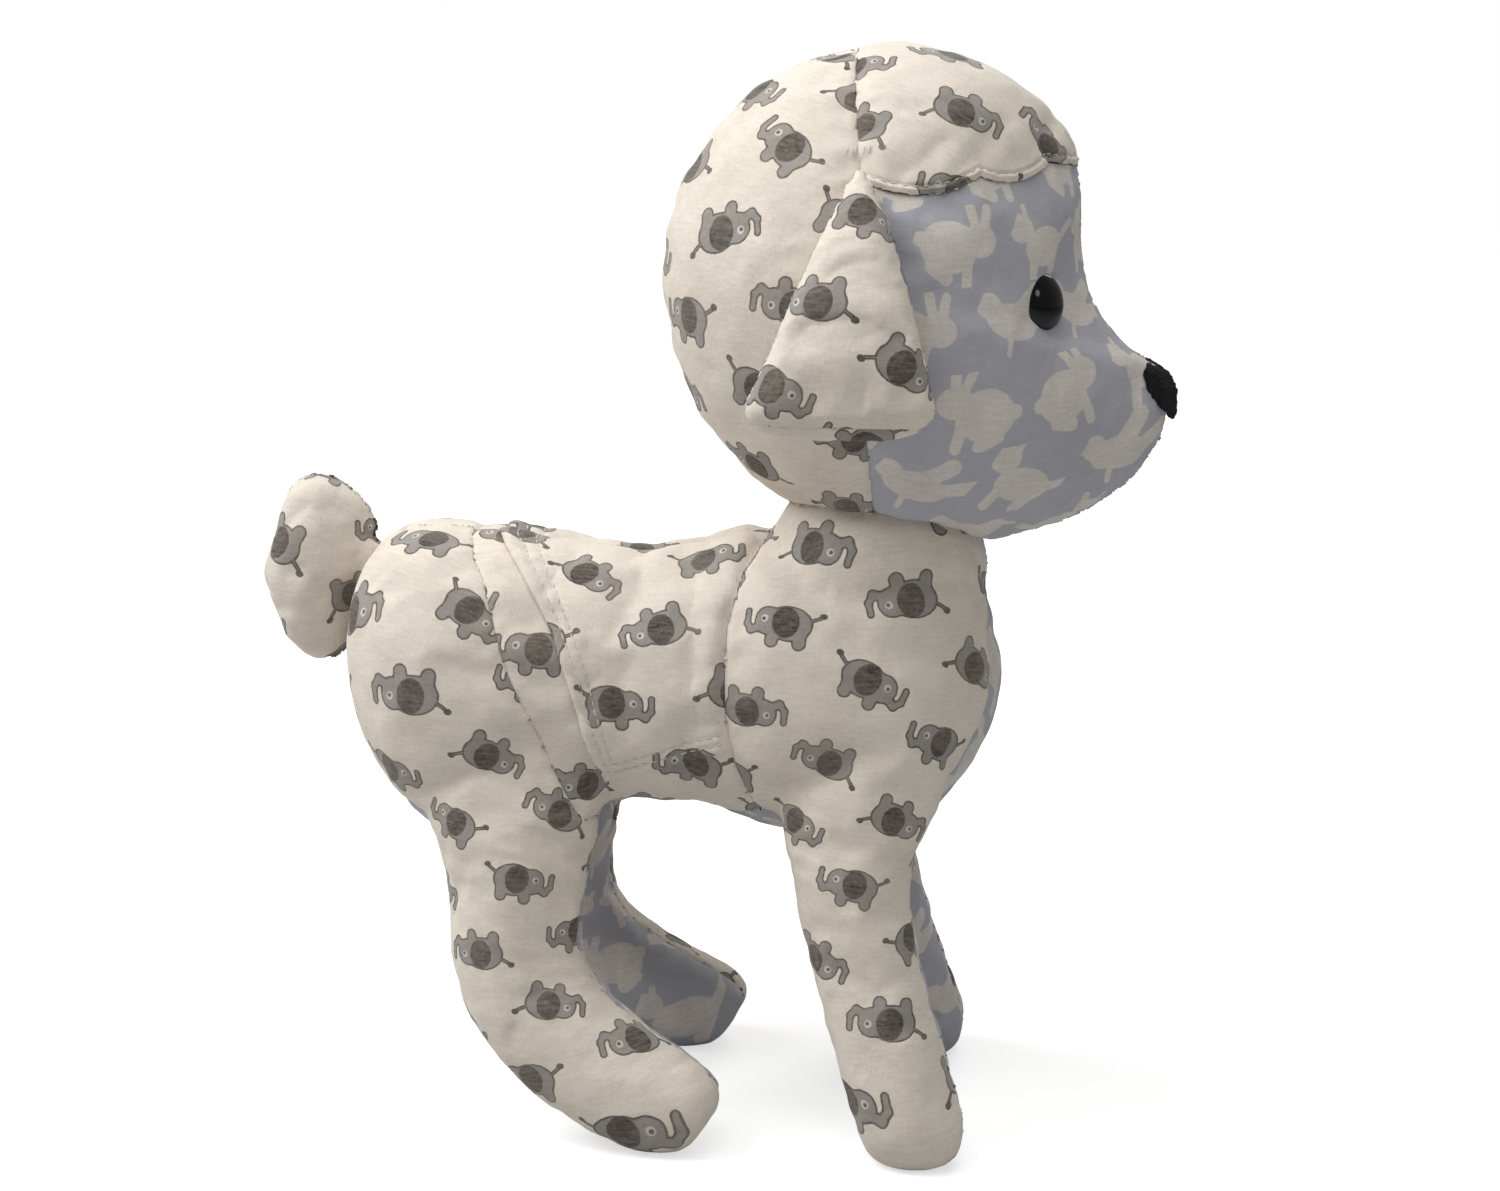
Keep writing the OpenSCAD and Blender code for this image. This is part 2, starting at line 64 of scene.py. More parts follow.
# Thinner cloth for the ears' narrow rims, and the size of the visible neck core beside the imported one
EAR_SKIN = 0.4 * MM
CORE_SHARE = 0.95
# The eyes' domes: their height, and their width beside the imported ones
EYE_DOME = 5.0 * MM
EYE_WIDER = 1.25
# Folds in the cloth: how long, how wide and how steep they are, and where they lie at the tops of the legs
FOLD_SLOPE = 0.25
FOLD_LONG = 15 * MM
FOLD_WIDE = 3.4 * MM
LEG_FOLDS = [(-30 * MM, 95 * MM, 17 * MM, 1.1 * MM), (-53 * MM, 80 * MM, 15 * MM, 0.9 * MM),
             (36 * MM, 92 * MM, 15 * MM, 0.9 * MM), (-40 * MM, 45 * MM, 14 * MM, 0.7 * MM)]
# Panels that are made as a second layer on the skin
OVERLAYS = ("cap_panel",)


# ---------------------------------------------------------------- camera, light and floor

def make_camera():
    """The camera stands a little ahead of the dog's right side, looking slightly down."""
    yaw, pitch, roll = math.radians(5.0), math.radians(10.0), math.radians(1.0)
    target = Vector((0.0148, 0.0, 0.1592))
    distance = 0.7
    lens_mm = 55.2
    look = Vector((-math.sin(yaw) * math.cos(pitch), math.cos(yaw) * math.cos(pitch), -math.sin(pitch)))
    right = look.cross(Vector((0, 0, 1))).normalized()
    up = right.cross(look)
    across = right * math.cos(roll) + up * math.sin(roll)
    above = up * math.cos(roll) - right * math.sin(roll)
    camera = bpy.data.objects.new("camera", bpy.data.cameras.new("camera"))
    camera.data.lens = lens_mm
    camera.data.sensor_width = 36.0
    camera.data.clip_start = 0.01
    turn = Matrix((across, above, -look)).transposed().to_4x4()
    camera.matrix_world = Matrix.Translation(target - look * distance) @ turn
    bpy.context.scene.collection.objects.link(camera)
    bpy.context.scene.camera = camera


# Each light's name, place, diameter in metres and power in watts: a soft key above and behind the tail, a
# fill over the back, a small one ahead of the face and one from the far side. All point at the dog's middle
LIGHTS = (("key", (-0.95, -0.2, 1.15), 0.9, 16.5), ("fill", (0.0, -0.3, 1.0), 0.7, 3.6),
          ("front", (0.9, -0.7, 0.9), 0.35, 1.1), ("back", (0.3, 1.05, 1.0), 0.9, 5.5))
LIGHTS_AIM = (0.0, 0.0, 0.16)
ROOM_LIGHT = 0.22
FLOOR_HALF = 12.0


def make_light(name, place, size, watts):
    data = bpy.data.lights.new(name, "AREA")
    data.shape = "DISK"
    data.size = size
    data.energy = watts
    lamp = bpy.data.objects.new(name, data)
    lamp.location = place
    lamp.rotation_euler = (Vector(LIGHTS_AIM) - Vector(place)).to_track_quat("-Z", "Y").to_euler()
    bpy.context.scene.collection.objects.link(lamp)


def make_world():
    """A white surround that lights the dog like a bright room."""
    scene = bpy.context.scene
    scene.view_settings.view_transform = "Standard"
    scene.view_settings.look = "None"
    world = bpy.data.worlds.new("surround")
    scene.world = world
    world.use_nodes = True
    nodes, links = world.node_tree.nodes, world.node_tree.links
    nodes["Background"].inputs["Strength"].default_value = ROOM_LIGHT
    seen = nodes.new("ShaderNodeBackground")
    path = nodes.new("ShaderNodeLightPath")
    mix = nodes.new("ShaderNodeMixShader")
    nodes["Background"].inputs["Color"].default_value = (1.0, 0.985, 0.96, 1.0)
    seen.inputs["Color"].default_value = (1.0, 1.0, 1.0, 1.0)
    links.new(path.outputs["Is Camera Ray"], mix.inputs[0])
    links.new(nodes["Background"].outputs[0], mix.inputs[1])
    links.new(seen.outputs[0], mix.inputs[2])
    links.new(mix.outputs[0], nodes["World Output"].inputs["Surface"])


def make_stage():
    """A plain white floor, lit by the four lights."""
    make_world()
    for light in LIGHTS:
        make_light(*light)
    mesh = bpy.data.meshes.new("floor")
    corners = [(x * FLOOR_HALF, y * FLOOR_HALF, 0) for x, y in ((-1, -1), (1, -1), (1, 1), (-1, 1))]
    mesh.from_pydata(corners, [], [(0, 1, 2, 3)])
    floor = bpy.data.objects.new("floor", mesh)
    bpy.context.scene.collection.objects.link(floor)
    mesh.materials.append(floor_paper())


# ---------------------------------------------------------------- shader arithmetic

class Tree:
    """Builds a material from expressions. Sockets go in and out, and a plain number is set on its input."""

    def __init__(self, name):
        self.material = bpy.data.materials.new(name)
        self.material.use_nodes = True
        self.nodes = self.material.node_tree.nodes
        self.links = self.material.node_tree.links
        self.shader = self.nodes["Principled BSDF"]

    def put(self, socket, value):
        if isinstance(value, bpy.types.NodeSocket):
            self.links.new(value, socket)
        else:
            socket.default_value = value

    def add(self, kind, inputs=(), **settings):
        """A node with its settings, and numbers or sockets on its inputs."""
        node = self.nodes.new("ShaderNode" + kind)
        for name, value in settings.items():
            setattr(node, name, value)
        for name, value in dict(inputs).items():
            self.put(node.inputs[name], value)
        return node

    def finish(self, **surface):
        """Sets inputs of the material's own shader, with _ for a space in their names."""
        for name, value in surface.items():
            self.put(self.shader.inputs[name.replace("_", " ")], value)
        return self.material

    def math(self, operation, *values, clamp=False):
        return self.add("Math", enumerate(values), operation=operation, use_clamp=clamp).outputs[0]

    def vector(self, operation, *values):
        node = self.add("VectorMath", enumerate(values), operation=operation)
        return node.outputs["Value" if operation in ("LENGTH", "DOT_PRODUCT") else "Vector"]

    def scale(self, vector, factor):
        return self.add("VectorMath", {0: vector, "Scale": factor}, operation="SCALE").outputs["Vector"]

    def uv(self):
        return self.add("UVMap", uv_map="cloth").outputs["UV"]

    def place(self):
        return self.add("TexCoord").outputs["Object"]

    def noise(self, vector, size, detail=2.0, roughness=0.5):
        return self.add("TexNoise", {"Vector": vector, "Scale": 1.0 / size, "Detail": detail,
                                     "Roughness": roughness}).outputs["Fac"]

    def random(self, vector):
        node = self.add("TexWhiteNoise", {"Vector": vector}, noise_dimensions="2D")
        return node.outputs["Value"], node.outputs["Color"]

    def ramp(self, value, low, high, at_low, at_high, **settings):
        """at_low up to low, at_high from high on, and between them in between."""
        return self.add("MapRange", {"Value": value, "From Min": low, "From Max": high, "To Min": at_low,
                                     "To Max": at_high}, **settings).outputs["Result"]

    def step(self, value, low, high):
        """0 above high, 1 below low."""
        return self.ramp(value, low, high, 1.0, 0.0, interpolation_type="SMOOTHSTEP")

    def mix(self, factor, first, second):
        return self.add("Mix", {"Factor": factor, 6: first, 7: second}, data_type="RGBA").outputs[2]

    def bump(self, height, distance, strength, below=None):
        node = self.add("Bump", {"Strength": strength, "Distance": distance, "Height": height})
        if below is not None:
            self.put(node.inputs["Normal"], below)
        return node.outputs["Normal"]

    # Flat shapes for prints, as distances in millimetres that are negative inside

    def blob(self, p, centre, radii):
        inverse = (1.0 / radii[0], 1.0 / radii[1], 0.0)
        shift = (-centre[0] / radii[0], -centre[1] / radii[1], 0.0)
        reach = self.vector("LENGTH", self.vector("MULTIPLY_ADD", p, inverse, shift))
        return self.math("MULTIPLY_ADD", reach, min(radii), -min(radii))

    def stroke(self, p, start, end, radius):
        along = (end[0] - start[0], end[1] - start[1], 0.0)
        square = along[0] ** 2 + along[1] ** 2
        offset = self.vector("SUBTRACT", p, (start[0], start[1], 0.0))
        share = self.math("MULTIPLY", self.vector("DOT_PRODUCT", offset, along), 1.0 / square, clamp=True)
        left = self.vector("SUBTRACT", offset, self.scale(along, share))
        return self.math("SUBTRACT", self.vector("LENGTH", left), radius)

    def join(self, shapes, softness=0.6):
        whole = shapes[0]
        for shape in shapes[1:]:
            whole = self.math("SMOOTH_MIN", whole, shape, softness)
        return whole


def srgb(*levels):
    """Colour from 0 to 255 levels as a display shows them."""
    linear = [((v / 255 + 0.055) / 1.055) ** 2.4 if v > 10 else v / 255 / 12.92 for v in levels]
    return (*linear, 1.0)


# ---------------------------------------------------------------- materials

def lattice(tree, first, second, wobble_mm):
    """Splits the cloth, in millimetres, into cells: each cell's number and the place from its middle."""
    cloth = tree.uv()
    rough = tree.add("TexNoise", {"Vector": cloth, "Scale": 0.8, "Detail": 1.0})
    shake = tree.scale(tree.vector("SUBTRACT", rough.outputs["Color"], (0.5, 0.5, 0.5)), wobble_mm)
    cloth = tree.vector("ADD", cloth, shake)
    size = first[0] * second[1] - first[1] * second[0]
    across = tree.vector("DOT_PRODUCT", cloth, (second[1] / size, -second[0] / size, 0.0))
    along = tree.vector("DOT_PRODUCT", cloth, (-first[1] / size, first[0] / size, 0.0))
    column = tree.math("FLOOR", across)
    row = tree.math("FLOOR", along)
    away = tree.math("SUBTRACT", tree.math("SUBTRACT", across, column), 0.5)
    ahead = tree.math("SUBTRACT", tree.math("SUBTRACT", along, row), 0.5)
    spot = tree.vector("ADD", tree.scale((*first, 0.0), away), tree.scale((*second, 0.0), ahead))
    cell = tree.add("CombineXYZ", {0: column, 1: row})
    return cell.outputs[0], column, row, spot


def turned(tree, spot, angle, flip):
    """spot turned by angle, then mirrored where flip is -1."""
    turn = tree.nodes.new("ShaderNodeVectorRotate")
    turn.rotation_type = "Z_AXIS"
    tree.put(turn.inputs["Vector"], spot)
    tree.put(turn.inputs["Angle"], angle)
    mirror = tree.add("CombineXYZ", {0: flip, 1: 1.0})
    return tree.vector("MULTIPLY", turn.outputs["Vector"], mirror.outputs[0])


def floor_paper():
    """White paper that looks evenly lit to the camera, and fades into the white surround."""
    tree = Tree("floor_paper")
    away = tree.vector("LENGTH", tree.place())
    seen = tree.add("LightPath").outputs["Is Camera Ray"]
    glow = tree.math("MULTIPLY", seen, tree.ramp(away, 0.3, 1.5, 0.62, 1.0))
    grain = tree.noise(tree.place(), 3 * MM, 2.0)
    paper = tree.mix(grain, srgb(198, 198, 198), srgb(206, 206, 206))
    return tree.finish(Base_Color=paper, Roughness=0.9, Emission_Color=(1.0, 1.0, 1.0, 1.0),
                       Emission_Strength=glow)


def cloth_finish(tree, colour, tint):
    """Brushed cotton jersey: heathered colour, fine ribs of knitting, fuzz that catches the light."""
    place = tree.place()
    slub = tree.noise(tree.vector("MULTIPLY", tree.uv(), (0.16, 1.0, 1.0)), 0.9, 3.0, 0.7)
    heather = tree.noise(place, 1.1 * MM, 3.0, 0.7)
    cloud = tree.noise(place, 16 * MM, 3.0)
    fleck = tree.math("MULTIPLY_ADD", slub, 0.7, tree.math("MULTIPLY_ADD", heather, 0.45, -0.42), clamp=True)
    soiled = tree.math("MULTIPLY_ADD", cloud, 0.5, -0.18, clamp=True)
    worn = tree.mix(tree.math("ADD", fleck, soiled, clamp=True), colour, tint)
    ribs = tree.add("TexWave", {"Vector": tree.uv(), "Scale": 0.42, "Distortion": 2.5, "Detail": 2.0,
                                "Detail Scale": 2.0}, wave_type="BANDS", bands_direction="X")
    knit = tree.bump(ribs.outputs["Fac"], 0.12 * MM, 0.3)
    fuzz = tree.bump(tree.noise(place, 0.5 * MM, 4.0, 0.7), 0.3 * MM, 0.5, knit)
    slack = tree.bump(tree.noise(place, 6 * MM, 2.0), 0.9 * MM, 0.35, fuzz)
    return tree.finish(Base_Color=worn, Normal=slack, Roughness=0.93, Specular_IOR_Level=0.15,
                       Sheen_Weight=0.12, Sheen_Roughness=0.5)


def elephant_jersey(name):
    """Off-white jersey with small grey elephants, upright and upside down in turn."""
    tree = Tree(name)
    cell, column, row, spot = lattice(tree, (24.2, -17.2), (-11.5, -24.6), 0.35)
    chance = tree.random(cell)[0]
    half_turns = tree.math("MULTIPLY", tree.math("PINGPONG", row, 1.0), math.pi)
    lean = tree.math("MULTIPLY_ADD", chance, 0.9, -0.35)
    flip = tree.math("MULTIPLY_ADD", tree.math("PINGPONG", column, 1.0), 2.0, -1.0)
    p = turned(tree, spot, tree.math("ADD", half_turns, lean), flip)
    body = tree.join([
        tree.blob(p, (-1.6, 0.6), (7.0, 5.4)),
        tree.blob(p, (4.6, 0.8), (4.3, 4.4)),
        tree.stroke(p, (-5.2, -2.0), (-5.2, -5.0), 2.1),
        tree.stroke(p, (2.6, -2.4), (2.9, -5.0), 2.1),
        tree.stroke(p, (7.2, -1.2), (9.6, -2.2), 1.5),
        tree.stroke(p, (9.6, -2.2), (11.2, -0.2), 1.2),
        tree.stroke(p, (11.2, -0.2), (11.0, 3.4), 1.1),
    ], 0.9)
    tail = tree.stroke(p, (-8.0, 2.2), (-10.4, 3.6), 0.6)
    tuft = tree.blob(p, (-11.2, 4.3), (1.15, 0.9))
    whole = tree.math("MINIMUM", body, tail)
    ear = tree.blob(p, (-0.6, 0.9), (4.0, 4.7))
    white = tree.blob(p, (5.7, 1.5), (1.15, 1.15))
    pupil = tree.blob(p, (5.9, 1.4), (0.6, 0.6))
    scribble = tree.noise(spot, 1.7, 3.0, 0.7)
    cloth = srgb(228, 219, 207)
    grey = tree.mix(scribble, srgb(122, 119, 115), srgb(158, 155, 150))
    swirl = tree.math("MULTIPLY_ADD", scribble, 3.0, -1.2, clamp=True)
    dark = tree.mix(swirl, srgb(47, 44, 42), srgb(70, 66, 62))
    ink = srgb(74, 69, 65)
    colour = tree.mix(tree.step(whole, -0.1, 0.15), cloth, ink)
    colour = tree.mix(tree.step(whole, -0.65, -0.3), colour, grey)
    colour = tree.mix(tree.step(ear, -0.2, 0.2), colour, dark)
    colour = tree.mix(tree.step(white, -0.2, 0.1), colour, srgb(205, 202, 198))
    colour = tree.mix(tree.step(pupil, -0.2, 0.1), colour, ink)
    colour = tree.mix(tree.step(tuft, -0.1, 0.15), colour, ink)
    return cloth_finish(tree, colour, srgb(178, 167, 154))


def animal_jersey(name):
    """Blue grey jersey with pale shapes of rabbits, cats and birds."""
    tree = Tree(name)
    cell, _, _, spot = lattice(tree, (31.0, 3.0), (13.0, 24.0), 0.3)
    chances = tree.random(cell)[1]
    parts = tree.add("SeparateColor", {0: chances})
    lean = tree.math("MULTIPLY_ADD", parts.outputs[0], 0.6, -0.3)
    flip = tree.math("MULTIPLY_ADD", tree.math("GREATER_THAN", parts.outputs[1], 0.5), 2.0, -1.0)
    p = tree.scale(turned(tree, spot, lean, flip), 0.82)
    rabbit = tree.join([
        tree.blob(p, (-2.5, -0.5), (7.0, 6.0)),
        tree.blob(p, (5.0, 2.2), (4.2, 3.7)),
        tree.stroke(p, (3.2, 5.0), (1.4, 9.4), 1.15),
        tree.stroke(p, (5.4, 5.2), (5.6, 9.8), 1.15),
        tree.stroke(p, (2.8, -3.0), (3.4, -8.4), 1.3),
        tree.stroke(p, (-6.0, -5.6), (-2.0, -7.6), 1.6),
        tree.blob(p, (-9.6, 0.2), (1.7, 1.7)),
    ], 0.8)
    cat = tree.join([
        tree.blob(p, (0.0, -1.8), (7.4, 4.6)),
        tree.blob(p, (7.2, 4.0), (3.9, 3.4)),
        tree.stroke(p, (5.0, 6.0), (4.6, 8.6), 0.8),
        tree.stroke(p, (9.2, 6.0), (9.8, 8.6), 0.8),
        tree.stroke(p, (5.4, -4.0), (6.6, -8.8), 1.4),
        tree.stroke(p, (-3.4, -5.0), (-1.4, -8.4), 1.6),
        tree.stroke(p, (-6.0, -2.0), (-13.4, 1.4), 1.2),
    ], 0.9)
    bird = tree.join([
        tree.blob(p, (0.6, 0.0), (7.6, 4.2)),
        tree.blob(p, (7.6, 2.8), (3.2, 3.0)),
        tree.stroke(p, (10.0, 2.8), (13.0, 1.8), 0.7),
        tree.stroke(p, (-5.0, 0.6), (-12.6, 3.6), 1.9),
        tree.stroke(p, (0.0, 1.4), (-5.6, 8.0), 2.2),
        tree.stroke(p, (1.6, -3.4), (1.8, -7.4), 0.7),
    ], 0.9)
    kind = parts.outputs[2]
    second = tree.math("GREATER_THAN", kind, 0.36)
    third = tree.math("GREATER_THAN", kind, 0.7)
    first_mask, second_mask, third_mask = (tree.step(shape, -0.15, 0.2) for shape in (rabbit, cat, bird))
    mask = tree.mix(third, tree.mix(second, first_mask, second_mask), third_mask)
    faded = tree.math("MULTIPLY_ADD", tree.noise(spot, 2.5, 3.0, 0.7), 0.35, 0.72, clamp=True)
    colour = tree.mix(tree.math("MULTIPLY", mask, faded), srgb(178, 179, 188), srgb(226, 219, 208))
    return cloth_finish(tree, colour, srgb(150, 146, 147))


def plain_material(name, light, dark, size, rough, bump, sheen=0.0):
    """One colour with mottling and a fine surface."""
    tree = Tree(name)
    place = tree.place()
    colour = tree.mix(tree.noise(place, size, 4.0, 0.65), dark, light)
    grain = tree.bump(tree.noise(place, size / 2, 3.0, 0.6), bump, 0.6)
    return tree.finish(Base_Color=colour, Normal=grain, Roughness=rough, Sheen_Weight=sheen)


def eye_material():
    """Polished black plastic with faint handling marks."""
    tree = Tree("eye_gloss")
    place = tree.place()
    black = tree.mix(tree.noise(place, 3 * MM), srgb(2, 2, 3), srgb(6, 6, 7))
    marks = tree.noise(place, 1.5 * MM, 4.0, 0.7)
    return tree.finish(Base_Color=black, Roughness=tree.math("MULTIPLY_ADD", marks, 0.08, 0.06),
                       Specular_IOR_Level=0.35)


# ---------------------------------------------------------------- meshes

def as_lists(points, faces):
    return [tuple(p) for p in points], [tuple(int(i) for i in f) for f in faces]


def face_sides(faces):
    """The three sides of each triangle, as pairs of points."""
    return np.vstack([faces[:, [0, 1]], faces[:, [1, 2]], faces[:, [2, 0]]])


def arrays(mesh):
    """Vertices and triangles of a mesh."""
    mesh.calc_loop_triangles()
    points = np.zeros(len(mesh.vertices) * 3)
    mesh.vertices.foreach_get("co", points)
    faces = np.zeros(len(mesh.loop_triangles) * 3, np.int32)
    mesh.loop_triangles.foreach_get("vertices", faces)
    return points.reshape(-1, 3), faces.reshape(-1, 3)


def joined(names, grow=None):
    """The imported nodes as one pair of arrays; grow scales a node about its middle."""
    points, faces, count = [], [], 0
    for name in names:
        v, f = arrays(NODES[name].data)
        if grow and name in grow:
            middle = (v.min(0) + v.max(0)) / 2
            v = middle + (v - middle) * grow[name]
        points.append(v)
        faces.append(f + count)
        count += len(v)
    return np.vstack(points), np.vstack(faces)


def new_object(name, points, faces):
    mesh = bpy.data.meshes.new(name)
    points, faces = as_lists(points, faces)
    mesh.from_pydata(points, [], faces)
    mesh.update()
    mesh.polygons.foreach_set("use_smooth", [True] * len(mesh.polygons))
    piece = bpy.data.objects.new(name, mesh)
    bpy.context.scene.collection.objects.link(piece)
    return piece


def apply_modifiers(piece):
    """Bakes the modifiers of a piece into its mesh."""
    bpy.context.view_layer.update()
    graph = bpy.context.evaluated_depsgraph_get()
    mesh = bpy.data.meshes.new_from_object(piece.evaluated_get(graph))
    piece.modifiers.clear()
    old = piece.data
    piece.data = mesh
    bpy.data.meshes.remove(old)


def modifier(piece, kind, **settings):
    """Adds a modifier with its settings."""
    made = piece.modifiers.new(kind.lower(), kind)
    for name, value in settings.items():
        setattr(made, name, value)


def move_points(piece, points):
    piece.data.vertices.foreach_set("co", points.ravel())
    piece.data.update()


def vertex_normals(points, faces):
    a, b, c = (points[faces[:, k]] for k in range(3))
    flat = np.cross(b - a, c - a)
    total = np.zeros_like(points)
    for k in range(3):
        np.add.at(total, faces[:, k], flat)
    return total / np.maximum(np.linalg.norm(total, axis=1, keepdims=True), 1e-12)


def keep_largest(piece):
    """Leaves only the biggest connected part of a mesh."""
    form = bmesh.new()
    form.from_mesh(piece.data)
    seen, best = set(), []
    for start in form.verts:
        if start in seen:
            continue
        group, stack = [], [start]
        seen.add(start)
        while stack:
            v = stack.pop()
            group.append(v)
            for e in v.link_edges:
                w = e.other_vert(v)
                if w not in seen:
                    seen.add(w)
                    stack.append(w)
        if len(group) > len(best):
            best = group
    keep = set(best)
    bmesh.ops.delete(form, geom=[v for v in form.verts if v not in keep], context="VERTS")
    form.to_mesh(piece.data)
    form.free()


def trees(names):
    """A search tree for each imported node."""
    return [BVHTree.FromPolygons(*as_lists(*arrays(NODES[name].data))) for name in names]


def point_search(points):
    search = KDTree(len(points))
    for i, p in enumerate(points):
        search.insert(p, i)
    search.balance()
    return search


def distances(points, searches, reach=16 * MM):
    """How far each point is from each search tree; anything beyond reach counts as far."""
    out = np.full((len(points), len(searches)), 4 * reach)
    for k, search in enumerate(searches):
        for i, p in enumerate(points):
            gap = search.find_nearest(p, reach)[3]
            if gap is not None:
                out[i, k] = gap
    return out


def border_gap(far, near):
    """How far a point is from the border between two panels, from its distances to them."""
    return np.sqrt(np.maximum(far ** 2 - near ** 2, 0.0))


def seam_distance(gaps):
    """Each point's own panel, and how far it is from the border to the next one."""
    order = np.argsort(gaps, axis=1)
    own = order[:, 0]
    rows = np.arange(len(gaps))
    near = gaps[rows, own]
    other = gaps[rows, order[:, 1]]
    return own, border_gap(other, near)


def groove_distance(gaps, flush):
    """How far each point is from a seam that draws the cloth in; flush pairs of panels have no such seam."""
    own = np.argmin(gaps, axis=1)
    rows = np.arange(len(gaps))
    near = gaps[rows, own]
    others = gaps.copy()
    others[rows, own] = np.inf
    for a, b in flush:
        others[own == a, b] = np.inf
        others[own == b, a] = np.inf
    return border_gap(others.min(axis=1), near)


# Settings of the cloth simulation; a negative shrink gives the skin a little spare cloth
CLOTH = {"quality": 6, "mass": 0.2, "tension_stiffness": 25, "compression_stiffness": 20,
         "shear_stiffness": 10, "bending_stiffness": 0.3, "air_damping": 4, "use_pressure": True,
         "shrink_min": -0.02, "pin_stiffness": 20}
CLOTH_STEPS = 20
# How far beside a seam its hold on the cloth fades
HOLD_WIDE = 2.6 * MM


def inflate(piece, searches, pressure, cap):
    """Blows the skin up as cloth with its seams held, and caps how far each point moves."""
    mesh = piece.data
    rest = np.array([v.co for v in mesh.vertices])
    _, border = seam_distance(distances(rest, searches))
    hold = piece.vertex_groups.new(name="hold")
    for i, d in enumerate(border):
        hold.add([i], float(math.exp(-(d / HOLD_WIDE) ** 2)), "REPLACE")
    cloth = piece.modifiers.new("cloth", "CLOTH")
    for name, value in CLOTH.items():
        setattr(cloth.settings, name, value)
    cloth.settings.uniform_pressure_force = pressure
    cloth.settings.vertex_group_mass = "hold"
    cloth.settings.effector_weights.gravity = 0
    scene = bpy.context.scene
    cloth.point_cache.frame_start = 1
    cloth.point_cache.frame_end = CLOTH_STEPS
    for step in range(1, CLOTH_STEPS + 1):
        scene.frame_set(step)
    apply_modifiers(piece)
    scene.frame_set(1)
    moved = np.array([v.co for v in piece.data.vertices])
    shift = moved - rest
    far = np.linalg.norm(shift, axis=1, keepdims=True)
    shift *= np.minimum(1.0, cap / np.maximum(far, 1e-9))
    move_points(piece, rest + shift)


def skin_form(name, stuffing, panels, voxel, pressure, cap, relax, fine, grow=None):
    """The whole skin of one body as a closed triangle mesh, finer within fine of a seam."""
    piece = new_object(name, *joined(stuffing, grow))
    modifier(piece, "REMESH", mode="VOXEL", voxel_size=voxel)
    apply_modifiers(piece)
    keep_largest(piece)
    v, f = arrays(piece.data)
    v = even_out(v, f, relax)
    v = v + vertex_normals(v, f) * (SKIN + SKIN_GAP)
    move_points(piece, v)
    searches = trees(panels)
    inflate(piece, searches, pressure, cap)
    modifier(piece, "SUBSURF", levels=1, render_levels=1)
    apply_modifiers(piece)
    v, f = arrays(piece.data)
    bpy.data.objects.remove(piece)
    v, f = refine(v, f, lambda points: seam_distance(distances(points, searches))[1] < fine)
    return v, f, searches


def cut_panels(points, faces, gaps):
    """Cuts a labelled surface exactly along the borders between labels.

    Returns the points with new ones on the borders, and the triangles of each label."""
    own = np.argmin(gaps, axis=1)
    points = list(points)
    crossing = {}

    def split(i, j):
        key = (min(i, j), max(i, j))
        if key not in crossing:
            a, b = own[key[0]], own[key[1]]
            m = math.sqrt(max(gaps[key[0], b] ** 2 - gaps[key[0], a] ** 2, 0.0))
            n = math.sqrt(max(gaps[key[1], a] ** 2 - gaps[key[1], b] ** 2, 0.0))
            t = 0.5 if m + n < 1e-9 else m / (m + n)
            points.append(points[key[0]] * (1 - t) + points[key[1]] * t)
            crossing[key] = len(points) - 1
        return crossing[key]

    parts = {}
    labels = own[faces]
    same = (labels[:, 0] == labels[:, 1]) & (labels[:, 1] == labels[:, 2])
    for label in np.unique(own):
        parts[int(label)] = [tuple(f) for f in faces[same & (labels[:, 0] == label)]]
    for f, l in zip(faces[~same], labels[~same]):
        if len(set(l)) == 2:
            k = next(k for k in range(3) if l[(k + 1) % 3] == l[(k + 2) % 3])
            a, b, c = f[k], f[(k + 1) % 3], f[(k + 2) % 3]
            ab, ca = split(a, b), split(c, a)
            parts[int(own[a])].append((a, ab, ca))
            parts[int(own[b])] += [(ab, b, c), (ab, c, ca)]
        else:
            points.append((points[f[0]] + points[f[1]] + points[f[2]]) / 3)
            centre = len(points) - 1
            for k in range(3):
                a, b, c = f[k], f[(k + 1) % 3], f[(k + 2) % 3]
                parts[int(own[a])] += [(a, split(a, b), centre), (a, centre, split(c, a))]
    return np.array(points), parts


